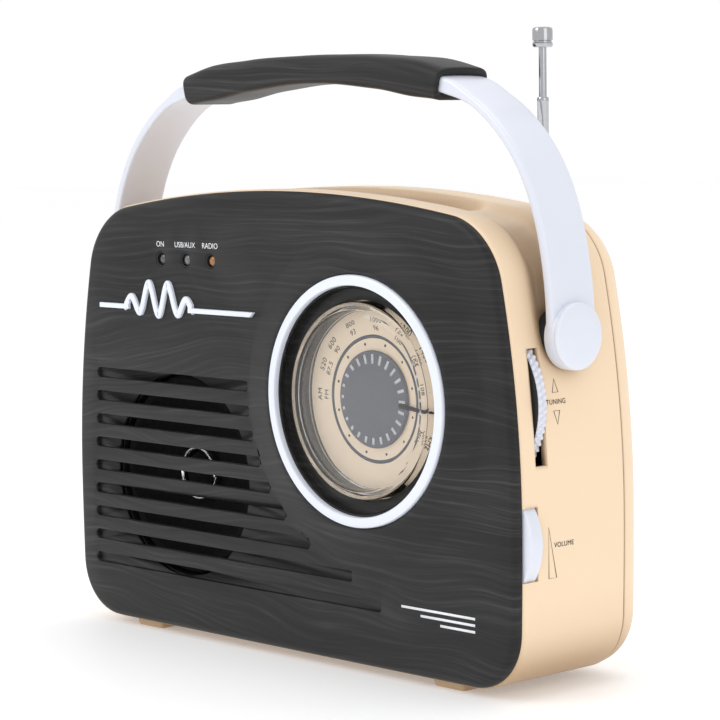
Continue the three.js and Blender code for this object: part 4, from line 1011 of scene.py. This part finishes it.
def section(width, thick, corner, crown, steps=5):
    """Rounded bar section with a crowned outer face: (across Y, outwards) points."""
    half, deep = width / 2, thick / 2
    corners = [(-half, -deep), (half, -deep), (half, deep), (-half, deep)]
    made = []
    for p in fillet(corners, corner, steps):
        lift = crown * (1 - (p.x / half) ** 2) if p.y > 0 else 0.0
        made.append((p.x, p.y + lift))
    top = [i for i, p in enumerate(made) if p[1] > 0]
    edge, split, spans = made[top[steps]][0], top[0] + steps + 1, 8
    across = [edge * (1 - 2 * k / spans) for k in range(1, spans)]
    return made[:split] + [(u, deep + crown * (1 - (u / half) ** 2)) for u in across] + made[split:]


def along_line(line, shape_at):
    """Rings of shape_at(i) along a line of (x, z) points; shapes give (across Y, outwards) points."""
    rings = []
    for i, p in enumerate(line):
        a, b = line[max(i - 1, 0)], line[min(i + 1, len(line) - 1)]
        along = (b - a).normalized()
        out = Vector((along.y, -along.x))
        if out.dot(p - Vector((0, 90))) < 0:
            out = -out
        rings.append([(p.x + out.x * h, PIVOT_Y + u, p.y + out.y * h) for u, h in shape_at(i)])
    return rings


def handle():
    line = strap_line()
    ends = [math.radians(a) for a in (90, 80, 70, 60, 50, 40, 30, 20, 10)]
    low = [Vector((line[0].x, PIVOT_Z - (PIVOT_R - 0.35) * math.sin(a))) for a in ends]
    shrink = [math.cos(a) if a < 1.57 else 0.02 for a in ends]
    full = low + line + [Vector((-p.x, p.y)) for p in low[::-1]]
    scale = shrink + [1.0] * len(line) + shrink[::-1]

    def strap_shape(i):
        wide = between(abs(full[i].y - PIVOT_Z), ((0, 2 * PIVOT_R - 0.7), (9, 2 * PIVOT_R - 0.8),
                                                  (24, STRAP_W))) * scale[i]
        thick = between(abs(full[i].x), ((50, 4.6), (59, 4.6), (70, STRAP_T))) if full[i].y > 150 else STRAP_T
        return section(max(wide, 0.4), thick, min(1.15, wide / 3 + 0.05), 0.25)

    piece("strap_band", *loft(along_line(full, strap_shape)), SILVER, "handle", "silver_plastic",
          ("handle_strap",), sharp=50)

    grip_line = [p for p in line if abs(p.x) <= GRIP_HALF]

    def grip_shape(i, grow=0.0):
        share = abs(grip_line[i].x) / GRIP_HALF
        thick = between(share, ((0.1, 8.5), (0.5, 9.7), (0.76, 10.9), (1.0, 9.4)))
        wide = 20.2 + 1.2 * smooth((share - 0.3) / 0.7)
        return [(u, h - 0.1) for u, h in section(wide + 2 * grow, thick + 2 * grow, 3.6 + grow, 0.5, 6)]

    rings = []
    for grow, shift in ((-2.6, 3.0), (-2.4, 0.6), (-1.3, 0.05), (-0.5, 0.0), (-0.12, 0.25)):
        ring = along_line(grip_line, lambda i: grip_shape(i, grow))[0]
        step = (grip_line[1] - grip_line[0]).normalized()
        rings.append([(x + step.x * shift, y, z + step.y * shift) for x, y, z in ring])
    body = along_line(grip_line, lambda i: grip_shape(i))
    body[0] = [(x + step.x * 0.8, y, z + step.y * 0.8) for x, y, z in body[0]]
    mirrored = [[(-x, y, z) for x, y, z in ring] for ring in rings[::-1]]
    body[-1] = [(-x, y, z) for x, y, z in body[0]]
    piece("grip_sleeve", *loft(rings + body + mirrored), WOOD_GRIP, "handle", "front_wood_black",
          ("handle_grip",), sharp=45)

    for side, tag in ((-1, "left"), (1, "right")):
        cap = [(0, 103.55), (6, 103.5), (8.6, 103.3), (9.3, 103.05), (9.65, 102.7), (PIVOT_R, 102.35),
               (PIVOT_R, 102.2), (0, 102.2)]
        hub = [(3.0, 97.9), (PIVOT_R - 0.6, 97.9), (PIVOT_R - 0.15, 98.1), (PIVOT_R, 98.5), (PIVOT_R, 101.7),
               (PIVOT_R - 0.12, 102.0), (PIVOT_R - 0.4, 102.1), (3.0, 102.1)]
        # a black washer between hub and case; its dark colour is also painted shade for the gap there
        shade_washer = [(2.9, 94.0), (8.5, 94.0), (8.4, 97.0), (8.1, 97.55), (2.9, 97.55)]
        for name, profile, material, body, segments, slot, nodes in (
                (f"cap_face_{tag}", cap, SILVER, "handle", 96, "silver_plastic", (f"pivot_cap_{tag}",)),
                (f"hub_{tag}", hub, SILVER, "handle", 96, "silver_plastic", ()),
                (f"pivot_shade_washer_{tag}", shade_washer, BLACK, "case", 64, "black_plastic", ())):
            turned_piece(name, [(r, side * x) for r, x in profile], "X", (PIVOT_Y, PIVOT_Z), material, body,
                         segments,
                         slot=slot, replaces=nodes)


# ---------------------------------------------------------------- wheels
def tuning_wheel():
    low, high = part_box("tuning_wheel")
    centre_x, centre_z, radius = (low.x + high.x) / 2 / MM, TUNING_Z, TUNING_R
    front, back = -16.1, -12.8
    count, fine = 80, 6
    steps = 8
    rows = [(front, -1.2)]
    rows += [(front + 0.25 + (back - front - 0.5) * k / steps, 0.0) for k in range(steps + 1)]
    rows.append((back, -1.2))
    rings = []
    for y, inset in rows:
        across = (y - front) / (back - front)
        phase = math.pi * (across > 0.5)
        row_swell = abs(math.sin(across * 2 * math.pi)) ** 0.5 if not inset else 0.0
        ring = []
        for k in range(count * fine):
            wave = 0.5 + 0.5 * math.cos(2 * math.pi * k / fine + phase)
            r = radius - 0.05 + inset - 0.85 * (1 - wave * row_swell) * (1.0 if not inset else 0.0)
            a = 2 * math.pi * k / (count * fine)
            ring.append((centre_x + r * math.cos(a), y, centre_z + r * math.sin(a)))
        rings.append(ring)
    hub = []
    for y, r in ((back, 3.0), (front, 3.0)):
        turn = 2 * math.pi / (count * fine)
        hub.append([(centre_x + r * math.cos(k * turn), y,
                     centre_z + r * math.sin(k * turn)) for k in range(count * fine)])
    piece("tuning_knurl", *loft(rings + hub + [rings[0]], cap=False), SILVER, "tuning", "silver_plastic",
          ("tuning_wheel",), sharp=60)
    # painted shade: a thin black disc on the wheel's front face stands in for the shade inside the slot
    cover = [(3.0, front - 0.3), (24.7, front - 0.3), (25.0, front - 0.1), (25.0, front + 0.1),
             (3.0, front + 0.1)]
    turned_piece("tuning_shade_disc", cover, "Y", (centre_x, centre_z), BLACK, "tuning", 96,
                 slot="black_plastic")


def volume_wheel():
    low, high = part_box("volume_wheel")
    front, back, r = low.y / MM, high.y / MM, VOLUME_R
    profile = [(3.4, front), (r - 1.2, front), (r - 0.45, front + 0.2), (r - 0.1, front + 0.7),
               (r - 0.25, front + 2.2), (r - 0.3, (front + back) / 2), (r - 0.25, back - 2.2),
               (r - 0.1, back - 0.7), (r - 0.45, back - 0.2), (r - 1.2, back), (3.4, back)]
    turned_piece("volume_rim", profile, "Y", ((low.x + high.x) / 2 / MM, VOLUME_Z), SILVER, "volume", 144,
                 slot="silver_plastic",
                 replaces=("volume_wheel",))


# ---------------------------------------------------------------- aerial
def aerial():
    low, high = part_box("aerial_section_1")
    x, y = (low.x + high.x) / 2 / MM, (low.y + high.y) / 2 / MM
    mouth = high.z / MM
    radii = (3.05, 2.4, 1.75)
    for k, (body, node) in enumerate((("aerial_a", "aerial_section_1"), ("aerial_b", "aerial_section_2"),
                                      ("aerial_c", "aerial_section_3"))):
        bottom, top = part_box(node)[0].z / MM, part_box(node)[1].z / MM
        r = radii[k]
        lip = 0.18
        profile = [(r - 0.45, bottom), (r - 0.04, bottom)]
        profile += raised(top, (r - 0.04, -1.6), (r, -1.5), (r, -0.5), (r - 0.08, -0.2), (r - lip, 0),
                          (r - 0.42, 0), (r - 0.45, -0.3))
        turned_piece(f"aerial_tube_{k + 1}", profile, "Z", (x, y), CHROME, body, 40, slot="aerial_chrome",
                     replaces=(node,))
    bottom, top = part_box("aerial_rod")[0].z / MM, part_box("aerial_rod")[1].z / MM
    base = top - 6.0
    tip = [(0, bottom), (1.15, bottom)]
    tip += raised(base, (1.15, 0), (2.55, 0), (2.85, 0.15), (3.0, 0.5), (3.0, 1.3), (2.72, 1.5), (2.72, 1.9),
                  (3.0, 2.1))
    tip += raised(top, (3.0, -1.0), (2.8, -0.4), (2.2, -0.08), (0, 0))
    turned_piece("aerial_tip", tip, "Z", (x, y), CHROME, "aerial_d", 56, slot="aerial_chrome",
                 replaces=("aerial_rod",))
    collar = raised(mouth, (3.15, -1.4), (5.0, -1.4), (5.0, -0.5), (4.7, -0.25), (3.4, -0.12), (3.15, -0.3))
    turned_piece("aerial_collar", collar, "Z", (x, y), BLACK, "case", 48, slot="black_plastic")


# ---------------------------------------------------------------- loudspeaker
def loudspeaker():
    basket = raised(SPEAKER_FRONT, (32.4, 0), (36.0, 0), (36.0, 1.2), (33.8, 1.2), (33.8, 4.4), (21.4, 16),
                    (21.4, 26.6), (20.6, 27), (0, 27), (0, 15), (19, 15), (32.4, 4.2))
    turned_piece("speaker_basket", basket, "Y", (SPEAKER_X, SPEAKER_Z), BLACK, "case", 72, round_to=0.3,
                 slot="black_plastic",
                 replaces=("speaker_frame",))
    cone = raised(SPEAKER_FRONT, (8.6, 7.4), (18, 4.6), (27.4, 1.9), (27.9, 1.5), (28.6, 0.95), (29.6, 0.75),
                  (30.6, 0.95), (31.2, 1.5), (31.6, 1.9), (31.6, 2.3), (31.0, 2.2), (29.6, 1.3), (28.2, 2.0),
                  (27.4, 2.5), (18, 5.2), (8.6, 8.0))
    turned_piece("speaker_diaphragm", cone, "Y", (SPEAKER_X, SPEAKER_Z), CONE, "cone", 96, slot="cone_paper",
                 replaces=("speaker_cone",))
    dome = raised(SPEAKER_FRONT, (0, 3.95), (3, 4.2), (5.4, 5.0), (7.0, 6.3), (7.3, 7.2), (7.3, 7.9),
                  (0, 7.9))
    turned_piece("speaker_dome", dome, "Y", (SPEAKER_X, SPEAKER_Z), CONE, "cone", 64, slot="cone_paper")
    trim = raised(SPEAKER_FRONT, (7.35, 5.2), (7.8, 4.5), (8.4, 4.5), (8.8, 5.2), (8.7, 7.6), (7.35, 7.8))
    turned_piece("speaker_trim", trim, "Y", (SPEAKER_X, SPEAKER_Z), CHROME_BRIGHT, "cone", 64, round_to=0.3,
                 slot="aerial_chrome")


# ---------------------------------------------------------------- top controls
def top_controls():
    for k in range(4):
        x = BUTTON_X + BUTTON_PITCH * k
        top, floor = BUTTON_TOP, TROUGH_FLOOR
        profile = raised(top, (0, -0.35), (1.6, -0.3), (2.9, -0.1), (3.4, 0), (3.8, -0.2), (4.0, -0.7))
        profile += raised(floor, (4.0, -2.3), (5.2, -2.3), (5.2, -3.3), (1.5, -3.3), (1.5, -5.9), (0, -5.9))
        turned_piece(f"button_cap_{k + 1}", profile, "Z", (x, CONTROL_Y), SILVER, f"button_{k + 1}", 56,
                     slot="silver_plastic", replaces=(f"top_button_{k + 1}",))
        bezel = raised(floor, (4.3, 0.1), (4.5, 0.35), (5.2, 0.35), (5.5, 0.05), (5.5, -0.6), (4.3, -0.6))
        turned_piece(f"button_bezel_{k + 1}", bezel, "Z", (x, CONTROL_Y), BLACK, "case", 56,
                     slot="black_plastic")
    low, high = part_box("band_slider")
    x0, x1, y0, y1 = low.x / MM, high.x / MM, low.y / MM, high.y / MM
    parts = [((x0, y0, TROUGH_FLOOR + 0.35), (x1, y1, high.z / MM - 0.5))]
    parts += [((x0 + 0.6 + k * 1.35, y0 + 0.4, high.z / MM - 0.6),
               (x0 + 1.2 + k * 1.35, y1 - 0.4, high.z / MM)) for k in range(3)]
    parts.append(((x0 + 1, y0 + 1.5, low.z / MM), (x1 - 1, y1 - 1.5, TROUGH_FLOOR + 1)))
    bevelled(piece("slider_knob", *blocks(parts), SILVER, "slider", "silver_plastic", ("band_slider",)), 0.2,
             3)


# ---------------------------------------------------------------- carried-over nodes
def dress_cad():
    """Better finishes and softened edges on the frame's own nodes that stay shown."""
    finishes = {
        "steel": STEEL, "spindle_brass": BRASS, "black_plastic": BLACK, "circuit_board": BOARD,
                "ferrite": FERRITE,
        "capacitor_white": WHITE, "cell_sleeve": CELLS, "dial_print_cream": CARD, "case_cream": CREAM,
        "silver_plastic": SILVER, "trim_white": WHITE, "aerial_chrome": CHROME,
    }
    slots = {s["node"]: s["material_slot"] for s in frame["record"]["subparts"]}
    for node, obj in frame["nodes"].items():
        if obj.hide_render or slots[node] not in finishes:
            continue
        for slot in obj.material_slots:
            slot.material = finishes[slots[node]]
        if not obj.modifiers:
            bevelled(obj, 0.12, 2, 50)


def screw_heads():
    for k, (x, z) in enumerate(SCREWS):
        head = [(0, 27.55), (0.5, 27.45), (0.9, 27.52), (2.0, 27.6), (2.6, 27.35), (2.8, 26.9), (2.8, 26.4),
                (1.4, 26.3), (1.4, 14.0), (0, 13.2)]
        turned_piece(f"screw_{k + 1}", head, "Y", (x, z), STEEL, "case", 36, slot="steel",
                     replaces=(f"back_screw_{k + 1}",))


# ---------------------------------------------------------------- studio
def area_light(name, place, aim, size, power):
    data = bpy.data.lights.new(name, "AREA")
    data.shape = "RECTANGLE"
    data.size = data.size_y = size
    data.energy = power
    light = bpy.data.objects.new(name, data)
    light.location = place
    light.rotation_euler = (Vector(aim) - Vector(place)).to_track_quat("-Z", "Y").to_euler()
    bpy.context.scene.collection.objects.link(light)


def studio():
    """A white floor, a world a little brighter to the camera than its light, and three soft lamps."""
    n = Nodes("floor_white", (0.9, 0.9, 0.9), 0.55)
    n.link(n.ramp(n.noise(3.0), ((0.3, 0.9), (0.7, 0.92))), "Base Color")
    n.set("Emission Color", (1, 1, 1, 1))
    n.set("Emission Strength", FLOOR_GLOW)
    mesh = bpy.data.meshes.new("floor")
    verts, faces = turned([(0, 0.0), (0.8, 0.0), (2.5, 0.0), (6, 0.0)], "Z", (0, 0), 64, closed=False)
    mesh.from_pydata(verts, [], faces)
    mesh.materials.append(n.mat)
    floor = bpy.data.objects.new("floor", mesh)
    bpy.context.scene.collection.objects.link(floor)
    world = bpy.data.worlds.new("studio")
    world.use_nodes = True
    tree = world.node_tree
    background = tree.nodes["Background"]
    background.inputs["Color"].default_value = (1, 1, 1, 1)
    seen = tree.nodes.new("ShaderNodeLightPath").outputs["Is Camera Ray"]
    level = tree.nodes.new("ShaderNodeMapRange")
    level.inputs["To Min"].default_value = WORLD_LIGHT
    level.inputs["To Max"].default_value = WORLD_SEEN
    tree.links.new(seen, level.inputs["Value"])
    tree.links.new(level.outputs[0], background.inputs["Strength"])
    bpy.context.scene.world = world
    bpy.context.scene.view_settings.view_transform = "Standard"
    area_light("key_left", (-0.55, -1.0, 0.9), (0, 0, 0.08), 0.7, 4.0)
    area_light("fill_right", (1.3, -0.25, 0.55), (0.05, 0, 0.08), 0.8, 1.6)
    area_light("top_soft", (0.1, 0.3, 1.3), (0, 0, 0.05), 0.9, 3.0)


def camera():
    """The photograph's own viewpoint: a long lens, a little above the radio, off its right front corner."""
    azimuth, elevation, roll = (math.radians(a) for a in (VIEW_AZIMUTH, VIEW_ELEVATION, VIEW_ROLL))
    back = Vector((math.sin(azimuth) * math.cos(elevation), -math.cos(azimuth) * math.cos(elevation),
                   math.sin(elevation)))
    right = Vector((math.cos(azimuth), math.sin(azimuth), 0))
    up = back.cross(right)
    turned_right = right * math.cos(roll) - up * math.sin(roll)
    turned_up = right * math.sin(roll) + up * math.cos(roll)
    data = bpy.data.cameras.new("camera")
    data.sensor_width = SENSOR_WIDTH
    data.lens = FOCAL_LENGTH
    data.clip_end = 20.0
    cam = bpy.data.objects.new("camera", data)
    rotation = Matrix((turned_right, turned_up, back)).transposed()
    cam.matrix_world = Matrix.Translation(Vector(VIEW_PLACE) * MM) @ rotation.to_4x4()
    bpy.context.scene.collection.objects.link(cam)
    bpy.context.scene.camera = cam


camera()
studio()
front_panel()
case_skin()
case_feet()
back_cover()
dial()
dial_print()
pointer()
lamps()
badge()
labels()
handle()
tuning_wheel()
volume_wheel()
aerial()
loudspeaker()
top_controls()
screw_heads()
dress_cad()
